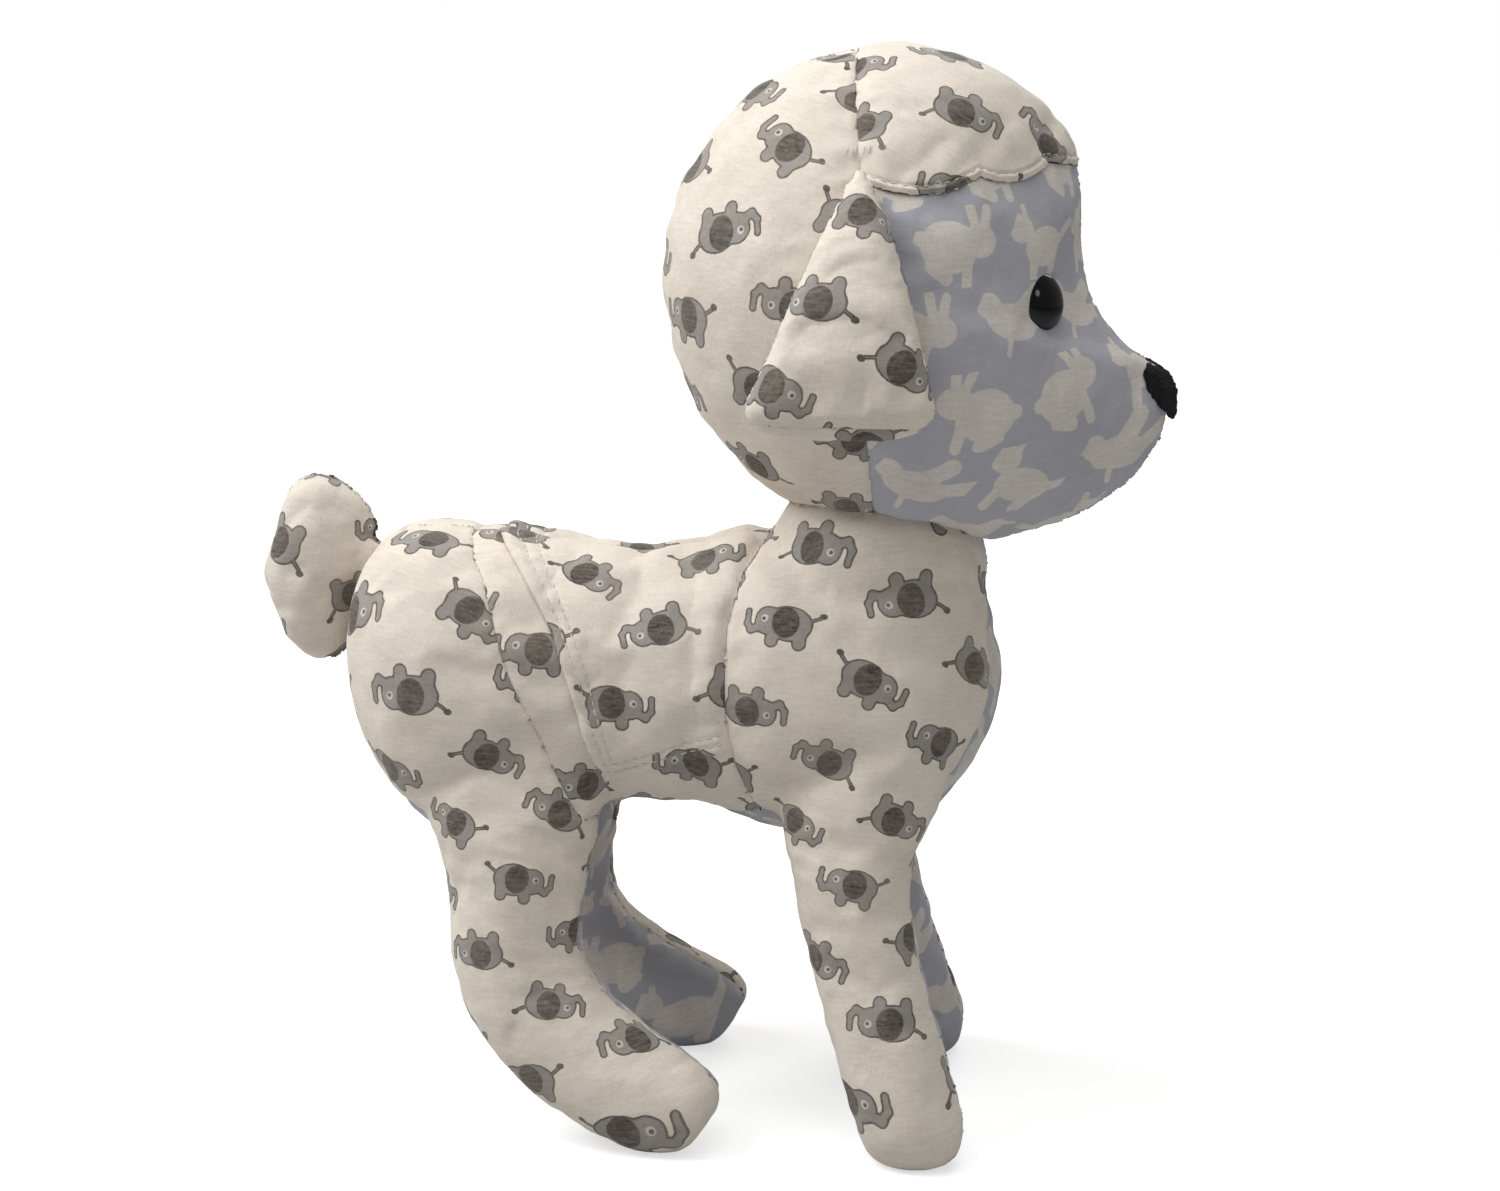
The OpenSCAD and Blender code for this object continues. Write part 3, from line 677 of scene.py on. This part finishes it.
def unrolled(piece, coarse=2500):
    """Flat places of the points of a panel, found on a coarser copy of it, in millimetres."""
    form = new_object("unrolled", *arrays(piece.data))
    modifier(form, "DECIMATE", ratio=min(1.0, coarse / max(len(piece.data.polygons), 1)))
    apply_modifiers(form)
    bpy.ops.object.select_all(action="DESELECT")
    bpy.context.view_layer.objects.active = form
    form.select_set(True)
    form.data.uv_layers.new(name="cloth")
    bpy.ops.object.mode_set(mode="EDIT")
    bpy.ops.mesh.select_all(action="SELECT")
    bpy.ops.uv.unwrap(method="ANGLE_BASED", margin=0.0)
    bpy.ops.object.mode_set(mode="OBJECT")
    mesh = form.data
    uv = np.zeros(len(mesh.loops) * 2)
    mesh.uv_layers["cloth"].data.foreach_get("uv", uv)
    corners = np.zeros(len(mesh.polygons) * 3, np.int32)
    mesh.polygons.foreach_get("vertices", corners)
    v, _ = arrays(mesh)
    uv, corners = uv.reshape(-1, 3, 2), corners.reshape(-1, 3)
    p, q, r = (v[corners[:, k]] for k in range(3))
    a, b, c = (uv[:, k] for k in range(3))
    flat = 0.5 * np.abs((b[:, 0] - a[:, 0]) * (c[:, 1] - a[:, 1]) - (b[:, 1] - a[:, 1]) * (c[:, 0] - a[:, 0]))
    real = 0.5 * np.linalg.norm(np.cross(q - p, r - p), axis=1)
    size = math.sqrt(real.sum() / max(flat.sum(), 1e-12)) / MM
    search = BVHTree.FromPolygons(*as_lists(v, corners))
    bpy.data.objects.remove(form)
    fine, _ = arrays(piece.data)
    face = np.array([search.find_nearest(x)[2] for x in fine])
    e1, e2, off = (q - p)[face], (r - p)[face], fine - p[face]
    d11, d12, d22 = (e1 * e1).sum(1), (e1 * e2).sum(1), (e2 * e2).sum(1)
    o1, o2 = (off * e1).sum(1), (off * e2).sum(1)
    det = np.maximum(d11 * d22 - d12 ** 2, 1e-18)
    s, t = (d22 * o1 - d12 * o2) / det, (d11 * o2 - d12 * o1) / det
    place = a[face] + (b - a)[face] * s[:, None] + (c - a)[face] * t[:, None]
    return place * size


def flatten_cloth(piece):
    """Unrolls a panel into flat cloth, in millimetres, lined up with the side view."""
    uv = unrolled(piece)
    v, f = arrays(piece.data)
    seen = v[:, [0, 2]] / MM
    weight = (np.maximum(np.abs(vertex_normals(v, f)[:, 1]), 0.05) ** 2)[:, None]
    middle_uv = (uv * weight).sum(0) / weight.sum()
    middle_seen = (seen * weight).sum(0) / weight.sum()
    x, y = uv - middle_uv, seen - middle_seen
    left, _, right = np.linalg.svd((x * weight).T @ y)
    uv = x @ (left @ right) + middle_seen
    index = np.zeros(len(piece.data.loops), np.int32)
    piece.data.loops.foreach_get("vertex_index", index)
    piece.data.uv_layers.new(name="cloth")
    piece.data.uv_layers["cloth"].data.foreach_set("uv", uv[index].ravel())


def clip(points, triangles, field):
    """The part of a surface where the field is above 0, cut exactly along its border, and the field on it."""
    points, field = list(points), list(field)
    crossing, kept = {}, []

    def split(i, j):
        key = (min(i, j), max(i, j))
        if key not in crossing:
            a, b = field[key[0]], field[key[1]]
            t = a / (a - b)
            points.append(points[key[0]] * (1 - t) + points[key[1]] * t)
            field.append(0.0)
            crossing[key] = len(points) - 1
        return crossing[key]

    for f in triangles:
        inside = [field[i] > 0 for i in f]
        if all(inside):
            kept.append(tuple(f))
        elif any(inside):
            k = inside.index(sum(inside) == 1)
            a, b, c = f[k], f[(k + 1) % 3], f[(k + 2) % 3]
            ab, ca = split(a, b), split(c, a)
            kept += [(a, ab, ca)] if sum(inside) == 1 else [(ab, b, c), (ab, c, ca)]
    return np.array(points), kept, np.array(field)


def contour(points, triangles, field, level):
    """Chains the line where the field has a level into runs of points, with the surface's normal at each."""
    normals = vertex_normals(points, np.array(triangles))
    links, places = {}, {}
    for f in triangles:
        ends = []
        for a, b in ((f[0], f[1]), (f[1], f[2]), (f[2], f[0])):
            u, v = field[a] - level, field[b] - level
            if (u > 0) != (v > 0):
                key = (min(a, b), max(a, b))
                t = u / (u - v)
                places[key] = (points[a] * (1 - t) + points[b] * t, normals[a] * (1 - t) + normals[b] * t)
                ends.append(key)
        if len(ends) == 2:
            links.setdefault(ends[0], []).append(ends[1])
            links.setdefault(ends[1], []).append(ends[0])
    runs, used = [], set()
    for start in sorted(links, key=lambda k: (len(links[k]), k)):
        if start in used:
            continue
        run, here = [start], start
        used.add(start)
        while True:
            onward = [k for k in links[here] if k not in used]
            if not onward:
                break
            here = onward[0]
            used.add(here)
            run.append(here)
        if len(run) > 4:
            runs.append((np.array([places[k][0] for k in run]), np.array([places[k][1] for k in run])))
    return runs


def along_run(run, pitch):
    """Evenly spaced places along a run: point, direction and normal."""
    points, normals = run
    for _ in range(3):
        points = points.copy()
        points[1:-1] = (points[:-2] + 2 * points[1:-1] + points[2:]) / 4
    length = np.concatenate([[0], np.cumsum(np.linalg.norm(np.diff(points, axis=0), axis=1))])
    count = max(int(length[-1] / pitch), 1)
    spots = []
    for k in range(count):
        here = (k + 0.5) * pitch
        at = np.array([np.interp(here, length, points[:, c]) for c in range(3)])
        ahead = np.array([np.interp(here + pitch / 2, length, points[:, c]) for c in range(3)])
        up = np.array([np.interp(here, length, normals[:, c]) for c in range(3)])
        way = ahead - at
        if np.linalg.norm(way) > 1e-6:
            spots.append((at, way / np.linalg.norm(way), up / np.linalg.norm(up)))
    return spots


def add_stitch(points, faces, at, way, up, length, radius, sink=0.3):
    """One stitch: a short arched thread that dives into the cloth at both ends."""
    side = np.cross(up, way)
    rings, sides = 7, 6
    first = len(points)
    for i in range(rings):
        t = i / (rings - 1)
        arch = math.sin(math.pi * t)
        middle = at + way * (t - 0.5) * length + up * radius * (arch * 1.1 - sink)
        r = radius * (0.55 + 0.45 * arch)
        for k in range(sides):
            a = 2 * math.pi * k / sides
            points.append(middle + (side * math.cos(a) + up * math.sin(a)) * r)
    for i in range(rings - 1):
        for k in range(sides):
            a, b = first + i * sides + k, first + i * sides + (k + 1) % sides
            faces.append((a, a + sides, b + sides, b))
    faces.append(tuple(first + k for k in range(sides)))
    faces.append(tuple(first + (rings - 1) * sides + k for k in reversed(range(sides))))


# Share of the bulge between two points that puts a new point on the curve through them
CURVED = 0.375


def rolled(rows, first):
    """Each row turned so that it starts at its own column."""
    return np.take_along_axis(rows, (first[:, None] + np.arange(3)) % 3, axis=1)


def refine(points, faces, near):
    """Splits the triangles round the points that pass near(points), along the curved surface."""
    normals = vertex_normals(points, faces)
    pairs, which = np.unique(np.sort(face_sides(faces), axis=1), axis=0, return_inverse=True)
    which = which.reshape(3, -1).T
    split = near(points)[pairs].any(axis=1)
    a, b = pairs[split].T
    middle = (points[a] + points[b]) / 2
    bulge = sum(((points[end] - middle) * normals[end]).sum(1, keepdims=True) * normals[end]
                for end in (a, b))
    number = np.full(len(pairs), -1)
    number[split] = len(points) + np.arange(split.sum())
    points = np.vstack([points, middle + CURVED * bulge])
    made = number[which]
    count = (made >= 0).sum(axis=1)
    new = [faces[count == 0]]
    whole = count == 3
    (p, q, r), (u, v, w) = faces[whole].T, made[whole].T
    new += [np.stack(t, axis=1) for t in ((p, u, w), (u, q, v), (w, v, r), (u, v, w))]
    one = count == 1
    first = np.argmax(made[one] >= 0, axis=1)
    (p, q, r), u = rolled(faces[one], first).T, rolled(made[one], first)[:, 0]
    new += [np.stack(t, axis=1) for t in ((p, u, r), (u, q, r))]
    two = count == 2
    first = (np.argmax(made[two] < 0, axis=1) + 1) % 3
    (p, q, r), (u, v, _) = rolled(faces[two], first).T, rolled(made[two], first).T
    new += [np.stack(t, axis=1) for t in ((u, q, v), (p, u, v), (p, v, r))]
    return points, np.vstack(new)


def even_out(points, faces, rounds):
    """Smooths a surface without shrinking it."""
    pairs = np.unique(np.sort(face_sides(faces), axis=1), axis=0)
    a, b = pairs.T
    count = np.bincount(pairs.ravel(), minlength=len(points))[:, None]
    for _ in range(rounds):
        for share in (0.5, -0.53):
            total = np.zeros_like(points)
            np.add.at(total, a, points[b])
            np.add.at(total, b, points[a])
            points = points + share * (total / np.maximum(count, 1) - points)
    return points


def panel_object(name, points, triangles):
    used = sorted({i for t in triangles for i in t})
    where = {old: new for new, old in enumerate(used)}
    piece = new_object(name, points[used], [tuple(where[i] for i in t) for t in triangles])
    return piece, np.array(used)


def thicken(piece, thickness):
    modifier(piece, "SOLIDIFY", thickness=thickness, offset=-1)
    apply_modifiers(piece)


# ---------------------------------------------------------------- bodies of the dog

def both(stem):
    return [f"{stem}_{side}" for side in SIDES]


TRUNK_STUFFING = ["trunk_stuffing", "neck_stuffing", *both("front_leg_stuffing"), *both("hind_leg_stuffing")]
TRUNK_PANELS = [*both("shoulder_panel"), *both("side_panel"), *both("hip_panel"), "belly_gusset",
                *both("front_leg_lining"), *both("hind_leg_lining")]
HEAD_PANELS = [*both("head_back"), "cap_panel", *both("face_panel")]
TAIL_PANELS = both("tail_panel")
LAVENDER = ("belly_gusset", "front_leg_lining", "hind_leg_lining", "face_panel")


def is_lavender(panel):
    return panel.startswith(LAVENDER)


def seam_groove(border, depth=0.6 * MM, wide=0.9 * MM, pull=0.6 * MM, pull_wide=4 * MM):
    """How far a seam draws the cloth in, at a distance from it."""
    return -depth * np.exp(-(border / wide) ** 2) - pull * np.exp(-(border / pull_wide) ** 2)


def puckers(points, border, size=5 * MM, height=0.35 * MM, reach=6 * MM):
    """Small uneven gathers beside a seam."""
    out = np.zeros(len(points))
    near = np.where(border < 2.5 * reach)[0]
    for i in near:
        out[i] = noise.noise(Vector(points[i]) / size) * height * math.exp(-border[i] / reach)
    return out


def ripples(points, size, height):
    """Slow unevenness of stuffed cloth."""
    return np.array([noise.fractal(Vector(p) / size, 0.8, 2.0, 3) for p in points]) * height


def finish_panel(piece, panel, body, thickness=SKIN):
    """Prints and thickens one panel, attaches it to its body and hides the imported panel."""
    flatten_cloth(piece)
    piece.data.materials.clear()
    piece.data.materials.append(LAVENDER_CLOTH if is_lavender(panel) else CREAM_CLOTH)
    thicken(piece, thickness)
    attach(piece, body)
    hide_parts(panel)


def creases(points, spots):
    """Short, nearly level folds round spots of the side view, given as x, z, reach and height."""
    out = np.zeros(len(points))
    for x, z, reach, height in spots:
        away = np.hypot(points[:, 0] - x, points[:, 2] - z)
        for i in np.where(away < 2 * reach)[0]:
            px, py, pz = points[i]
            fold = noise.noise(Vector((px / FOLD_LONG, py / FOLD_LONG, (pz + FOLD_SLOPE * px) / FOLD_WIDE)))
            out[i] += fold * height * math.exp(-(away[i] / reach) ** 2)
    return out


def make_body(stuffing, panels, body, voxel, pressure, cap, relax=6, fine=4 * MM, flush=(), drape=None,
              grow=None, groove=1.0, thickness=SKIN, folds=()):
    """Skins one body, cuts it into its panels and gives them their seams.

    voxel is the grain of the first skin, and pressure blows it up by no more than cap. grow scales some of
    the stuffing first, relax counts the rounds of smoothing, and seams are finer within fine of them.
    flush lists pairs of panels with no drawn in seam between them, drape may move the finished skin, groove
    scales the depth of the seams, and folds are spots with creases.
    Returns each panel's points, triangles, normals and distance to a drawn in seam, for what lies on it."""
    points, faces, searches = skin_form(body, stuffing, panels, voxel, pressure, cap, relax, fine, grow)
    points, parts = cut_panels(points, faces, distances(points, searches))
    gaps = distances(points, searches)
    pairs = [(panels.index(a), panels.index(b)) for a, b in flush]
    seam = groove_distance(gaps, pairs)
    every = np.array([t for part in parts.values() for t in part])
    normals = vertex_normals(points, every)
    lift = seam_groove(seam) * groove + puckers(points, seam) * groove + ripples(points, 16 * MM, 0.3 * MM)
    lift = lift + creases(points, folds)
    points = points + normals * lift[:, None]
    if drape:
        points = drape(points)
    made = {}
    for label, triangles in parts.items():
        panel = panels[label]
        piece, used = panel_object(panel.replace("_panel", "") + "_cloth", points, triangles)
        where = {old: new for new, old in enumerate(used)}
        inside = np.array([[where[i] for i in t] for t in triangles])
        made[panel] = (points[used], inside, normals[used], seam[used])
        if panel in OVERLAYS:
            bpy.data.objects.remove(piece)
        else:
            finish_panel(piece, panel, body, thickness)
    return made


def on_floor(points):
    """The soles rest flat on the floor."""
    return np.column_stack([points[:, :2], np.maximum(points[:, 2], 0.0)])


def bell(values, middle, wide):
    return np.exp(-((values - middle) / wide) ** 2)


def tucked(seam, reach=2.5 * MM):
    """0 on a seam that a layer is caught in, and 1 away from it."""
    return 1 - np.exp(-(seam / reach) ** 2)


def make_stitches(name, node, body, spots, length, radius):
    """A piece of small stitches at the given places, directions and normals."""
    points, faces = [], []
    for at, way, up in spots:
        add_stitch(points, faces, at, way, up, length, radius)
    piece = new_object(name, points, faces)
    piece.data.materials.append(THREAD)
    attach(piece, body)
    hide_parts(node)


def skin_under(made, places):
    """The nearest points of a finished skin to given places, and its normals there."""
    points = np.vstack([surface[0] for surface in made.values()])
    normals = np.vstack([surface[2] for surface in made.values()])
    search = point_search(points)
    near = [search.find(p)[1] for p in places]
    return points[near], normals[near]


def sew_round(name, node, body, made, step, length):
    """Slip stitches round a joint, where the part has its ring of thread."""
    v, _ = arrays(NODES[node].data)
    middle = v.mean(0)
    first, second, axis = np.linalg.svd(v - middle, full_matrices=False)[2]
    turn = np.arctan2((v - middle) @ second, (v - middle) @ first)
    radius = np.linalg.norm((v - middle) - np.outer((v - middle) @ axis, axis), axis=1).mean()
    count = int(2 * math.pi * radius / step)
    places = []
    for k in range(count):
        a = -math.pi + 2 * math.pi * (k + 0.5) / count
        gap = np.abs(np.angle(np.exp(1j * (turn - a))))
        places.append(v[gap < max(gap.min() * 1.5, 2 * math.pi / count)].mean(0))
    at, up = skin_under(made, np.array(places))
    way = np.roll(at, -1, axis=0) - np.roll(at, 1, axis=0)
    way = way / np.linalg.norm(way, axis=1, keepdims=True)
    make_stitches(name, node, body, list(zip(at + up * SEWN_RISE, way, up)), length, HAND_THREAD)


def sew_ear(side, made):
    """Short tacking stitches where the top of an ear is sewn to the head."""
    node = f"ear_stitches_{side}"
    v, _ = arrays(NODES[node].data)
    middle = v.mean(0)
    along = np.array([1.0, 0.0, 0.0])
    places = [middle + along * k * 1.6 * MM for k in (-2, -1, 0, 1, 2)]
    at, up = skin_under(made, np.array(places))
    spots = []
    for p, n in zip(at, up):
        way = np.cross(n, along)
        spots.append((p + n * (CAP_RISE + SEWN_RISE), way / np.linalg.norm(way), n))
    make_stitches(f"ear_tacks_{side}", node, "head", spots, 2.4 * MM, HAND_THREAD)


def make_neck_core():
    """The ball of stuffing that the head turns on, inside the cloth of the neck."""
    v, f = joined(["neck_stuffing"])
    middle = (v.max(0) + v.min(0)) / 2
    v = middle + (v - middle) * CORE_SHARE
    piece = new_object("neck_fibrefill", v, f)
    piece.data.materials.append(FIBRE)
    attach(piece, "neck")
    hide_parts("neck_stuffing")


def make_cap(surface):
    """The cap lies on the face with a rolled, scalloped edge and a line of stitches inside it."""
    points, triangles, _, _ = surface
    base = points, triangles
    faces, own, backs = trees(both("face_panel")), trees(["cap_panel"]), trees(both("head_back"))

    def from_edge(places):
        return border_gap(distances(places, faces).min(1), distances(places, own)[:, 0])

    points, triangles = refine(points, triangles, lambda places: from_edge(places) < 4 * MM)
    s = from_edge(points)
    seam = border_gap(distances(points, backs).min(1), distances(points, own)[:, 0])
    normals = smooth_normals(points, *base)
    rise = CAP_RISE + 0.3 * MM * bell(s, 1.1 * MM, 0.8 * MM) - 0.45 * MM * bell(s, CAP_STITCH, 0.5 * MM)
    rise = rise - 0.6 * MM * np.exp(-s / (0.5 * MM))
    rise = rise + puckers(points, np.abs(s - CAP_STITCH), 4 * MM, 0.3 * MM, 3 * MM)
    points = points + normals * (rise * tucked(seam))[:, None]
    piece = new_object("cap_cloth", points, triangles)
    spots = [spot for run in contour(points, triangles, s, CAP_STITCH)
             for spot in along_run(run, STITCH_PITCH)]
    make_stitches("cap_stitches", "cap_stitching", "head", spots, 2.0 * MM, MACHINE_THREAD)
    finish_panel(piece, "cap_panel", "head", CAP_RISE + 0.6 * MM)


def edge_curve(node, axis, first, share, degree):
    """The lowest edge of a node along one axis of the side view, as a smooth function of the other.

    It is fitted to the given share of the node that lies beyond first."""
    v, f = arrays(NODES[node].data)
    other = 2 - axis
    ends = face_sides(f)
    a, b = v[ends[:, 0]], v[ends[:, 1]]
    levels = np.linspace(first, first + share * (v[:, other].max() - first), 30)
    lowest = []
    for level in levels:
        crosses = (a[:, other] - level) * (b[:, other] - level) < 0
        t = (level - a[crosses, other]) / (b[crosses, other] - a[crosses, other])
        lowest.append((a[crosses, axis] * (1 - t) + b[crosses, axis] * t).min())
    return np.poly1d(np.polyfit(levels, lowest, degree))


def flap_edges(node):
    """The flap's rear edge and its hem, which meet at its lowest point."""
    v, _ = arrays(NODES[node].data)
    corner = v[np.argmin(v[:, 2])]
    rear = edge_curve(node, 0, corner[2] + 1 * MM, 0.9, 3)
    hem = edge_curve(node, 2, corner[0] + 2 * MM, 0.55, 1)
    return rear, hem


def flap_depth(places, curves):
    """How far a place is inside the flap's rear edge and hem, in the side view."""
    rear, hem = curves
    x, z = places[:, 0], places[:, 2]
    from_rear = (x - rear(z)) / np.sqrt(1 + rear.deriv()(z) ** 2)
    from_hem = (z - hem(x)) / np.sqrt(1 + hem.deriv()(x) ** 2)
    return np.minimum(from_rear, from_hem)


def make_flap(side, surface):
    """The flank flap: a second layer with a folded, twin stitched edge."""
    node = f"flank_flap_{side}"
    points, triangles, _, _ = surface
    curves = flap_edges(node)
    base = points, triangles
    points, triangles = refine(points, triangles,
                               lambda places: np.abs(flap_depth(places, curves) - 3 * MM) < 5 * MM)
    points, triangles, _ = clip(points, triangles, flap_depth(points, curves))
    piece, _ = panel_object(f"flank_flap_{side}_cloth", points, triangles)
    points, triangles = arrays(piece.data)
    bpy.data.objects.remove(piece)
    s = flap_depth(points, curves)
    own = trees([f"side_panel_{side}", node])
    rest = trees([n for n in TRUNK_PANELS if n != f"side_panel_{side}"])
    seam = border_gap(distances(points, rest).min(1), distances(points, own).min(1))
    normals = smooth_normals(points, *base)
    rise = FLAP_RISE + 0.25 * MM * bell(s, 1.3 * MM, 1.1 * MM) - 0.7 * MM * np.exp(-s / (0.5 * MM))
    for row in HEM_ROWS:
        rise = rise - 0.4 * MM * bell(s, row, 0.5 * MM)
    rise = rise + puckers(points, np.abs(s - HEM_ROWS[1]), 4 * MM, 0.3 * MM, 4 * MM)
    points = points + normals * (rise * tucked(seam))[:, None]
    piece = new_object(f"flank_flap_{side}_cloth", points, triangles)
    spots = [spot for row in HEM_ROWS for run in contour(points, triangles, s, row)
             for spot in along_run(run, STITCH_PITCH)]
    make_stitches(f"hem_stitches_{side}", f"hem_stitching_{side}", "trunk", spots, 2.2 * MM, MACHINE_THREAD)
    finish_panel(piece, node, "trunk")


def smooth_normals(points, base_points, base_faces, rounds=2):
    """Normals of a base surface at given points, softened over its neighbouring triangles."""
    normals = vertex_normals(base_points, base_faces)
    normals = even_out(normals, base_faces, rounds)
    search = point_search(base_points)
    out = []
    for p in points:
        found = search.find_n(p, 4)
        weights = np.array([1 / (d + 0.1 * MM) for _, _, d in found])
        out.append((normals[[i for _, i, _ in found]] * weights[:, None]).sum(0))
    out = np.array(out)
    return out / np.maximum(np.linalg.norm(out, axis=1, keepdims=True), 1e-9)


def make_nose():
    """A pad of black felt with a fuzzy, slightly frayed edge."""
    piece = new_object("nose_felt", *joined(["nose"]))
    modifier(piece, "REMESH", mode="VOXEL", voxel_size=0.6 * MM)
    modifier(piece, "SMOOTH", factor=0.5, iterations=2)
    modifier(piece, "SUBSURF", levels=1, render_levels=1)
    apply_modifiers(piece)
    v, f = arrays(piece.data)
    n = vertex_normals(v, f)
    fuzz = np.array([noise.fractal(Vector(p) / (0.9 * MM), 0.6, 2.2, 3) for p in v])
    v = v + n * (0.45 * MM + fuzz * 0.3 * MM)[:, None]
    move_points(piece, v)
    piece.data.materials.append(FELT)
    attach(piece, "head")
    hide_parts("nose")


def make_eye(side):
    """A glossy oval dome with a rounded rim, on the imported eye's own axes."""
    v, _ = arrays(NODES[f"eye_{side}"].data)
    washer, _ = arrays(NODES[f"eye_washer_{side}"].data)
    middle = washer.mean(0)
    spread = washer - middle
    out = np.linalg.svd(spread, full_matrices=False)[2][2]
    if (v.mean(0) - middle) @ out < 0:
        out = -out
    depth = (v - middle) @ out
    top = depth.max()
    rim_level = top - EYE_DOME
    base = v[np.abs(depth - rim_level) < 0.25 * MM]
    centre = (base.max(0) + base.min(0)) / 2
    flat = base - centre
    flat = flat - np.outer(flat @ out, out)
    axes = np.linalg.svd(flat - flat.mean(0), full_matrices=False)[2]
    tall, wide = axes[0], axes[1]
    half_tall, half_wide = np.abs(flat @ tall).max(), EYE_WIDER * np.abs(flat @ wide).max()
    centre = centre + out * (rim_level - (centre - middle) @ out)
    profile = [(0.0, -0.10), (0.80, -0.10), (0.93, -0.08), (0.985, 0.0), (1.0, 0.07)]
    profile += [(math.cos(a), 0.07 + 0.93 * math.sin(a)) for a in np.linspace(0.12, math.pi / 2, 16)]
    around = 64
    points, faces = [], []
    for r, h in profile:
        for k in range(around):
            a = 2 * math.pi * k / around
            points.append(centre + wide * half_wide * r * math.cos(a) + tall * half_tall * r * math.sin(a)
                          + out * EYE_DOME * h)
    for i in range(len(profile) - 1):
        for k in range(around):
            a, b = i * around + k, i * around + (k + 1) % around
            faces.append((a, b, b + around, a + around))
    piece = new_object(f"eye_{side}_dome", points, faces)
    form = bmesh.new()
    form.from_mesh(piece.data)
    bmesh.ops.remove_doubles(form, verts=form.verts, dist=0.01 * MM)
    bmesh.ops.recalc_face_normals(form, faces=form.faces)
    form.to_mesh(piece.data)
    form.free()
    piece.data.materials.append(EYE)
    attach(piece, "head")
    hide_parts(f"eye_{side}")


make_camera()
make_stage()
CREAM_CLOTH = elephant_jersey("elephant_jersey")
LAVENDER_CLOTH = animal_jersey("animal_jersey")
THREAD = plain_material("thread", srgb(224, 219, 212), srgb(190, 184, 176), 0.4 * MM, 0.8, 0.1 * MM, 0.3)
FELT = plain_material("nose_felt", srgb(11, 10, 10), srgb(1, 1, 1), 0.6 * MM, 0.98, 0.5 * MM, 0.02)
FIBRE = plain_material("fibrefill", srgb(240, 240, 238), srgb(222, 222, 220), 2 * MM, 0.95, 0.6 * MM, 0.4)
WASHER = plain_material("washer_plastic", srgb(225, 225, 220), srgb(210, 210, 205), 3 * MM, 0.5, 0.05 * MM)
EYE = eye_material()

trunk = make_body(TRUNK_STUFFING, TRUNK_PANELS, "trunk", voxel=3.4 * MM, pressure=4.0, cap=3.0 * MM,
                  drape=on_floor, grow={"neck_stuffing": 1.045}, folds=LEG_FOLDS)
head = make_body(["head_stuffing"], HEAD_PANELS, "head", voxel=3.0 * MM, pressure=4.0, cap=3.0 * MM,
                 flush=[("cap_panel", face) for face in both("face_panel")])
make_body(["tail_stuffing"], TAIL_PANELS, "tail", voxel=2.2 * MM, pressure=3.0, cap=2.0 * MM, relax=3)
make_cap(head["cap_panel"])
for side in SIDES:
    make_body([f"ear_stuffing_{side}"], [f"ear_outer_{side}", f"ear_inner_{side}"], f"ear_{side}",
              voxel=2.0 * MM, pressure=3.0, cap=2.0 * MM, relax=3, groove=0.4, thickness=EAR_SKIN)
    make_flap(side, trunk[f"side_panel_{side}"])
    make_eye(side)
    sew_ear(side, head)
make_nose()
make_neck_core()
sew_round("neck_sewing", "neck_stitches", "head", head, 4.5 * MM, 2.6 * MM)
sew_round("tail_sewing", "tail_stitches", "trunk", trunk, 3.5 * MM, 2.2 * MM)

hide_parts(*[n for n in TRUNK_STUFFING if n != "neck_stuffing"])
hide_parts("head_stuffing")
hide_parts("tail_stuffing")
for side in SIDES:
    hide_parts(f"ear_stuffing_{side}")

for node_name, node in NODES.items():
    if not node.hide_render:
        node.data.materials.clear()
        node.data.materials.append(WASHER if "washer" in node_name else THREAD)
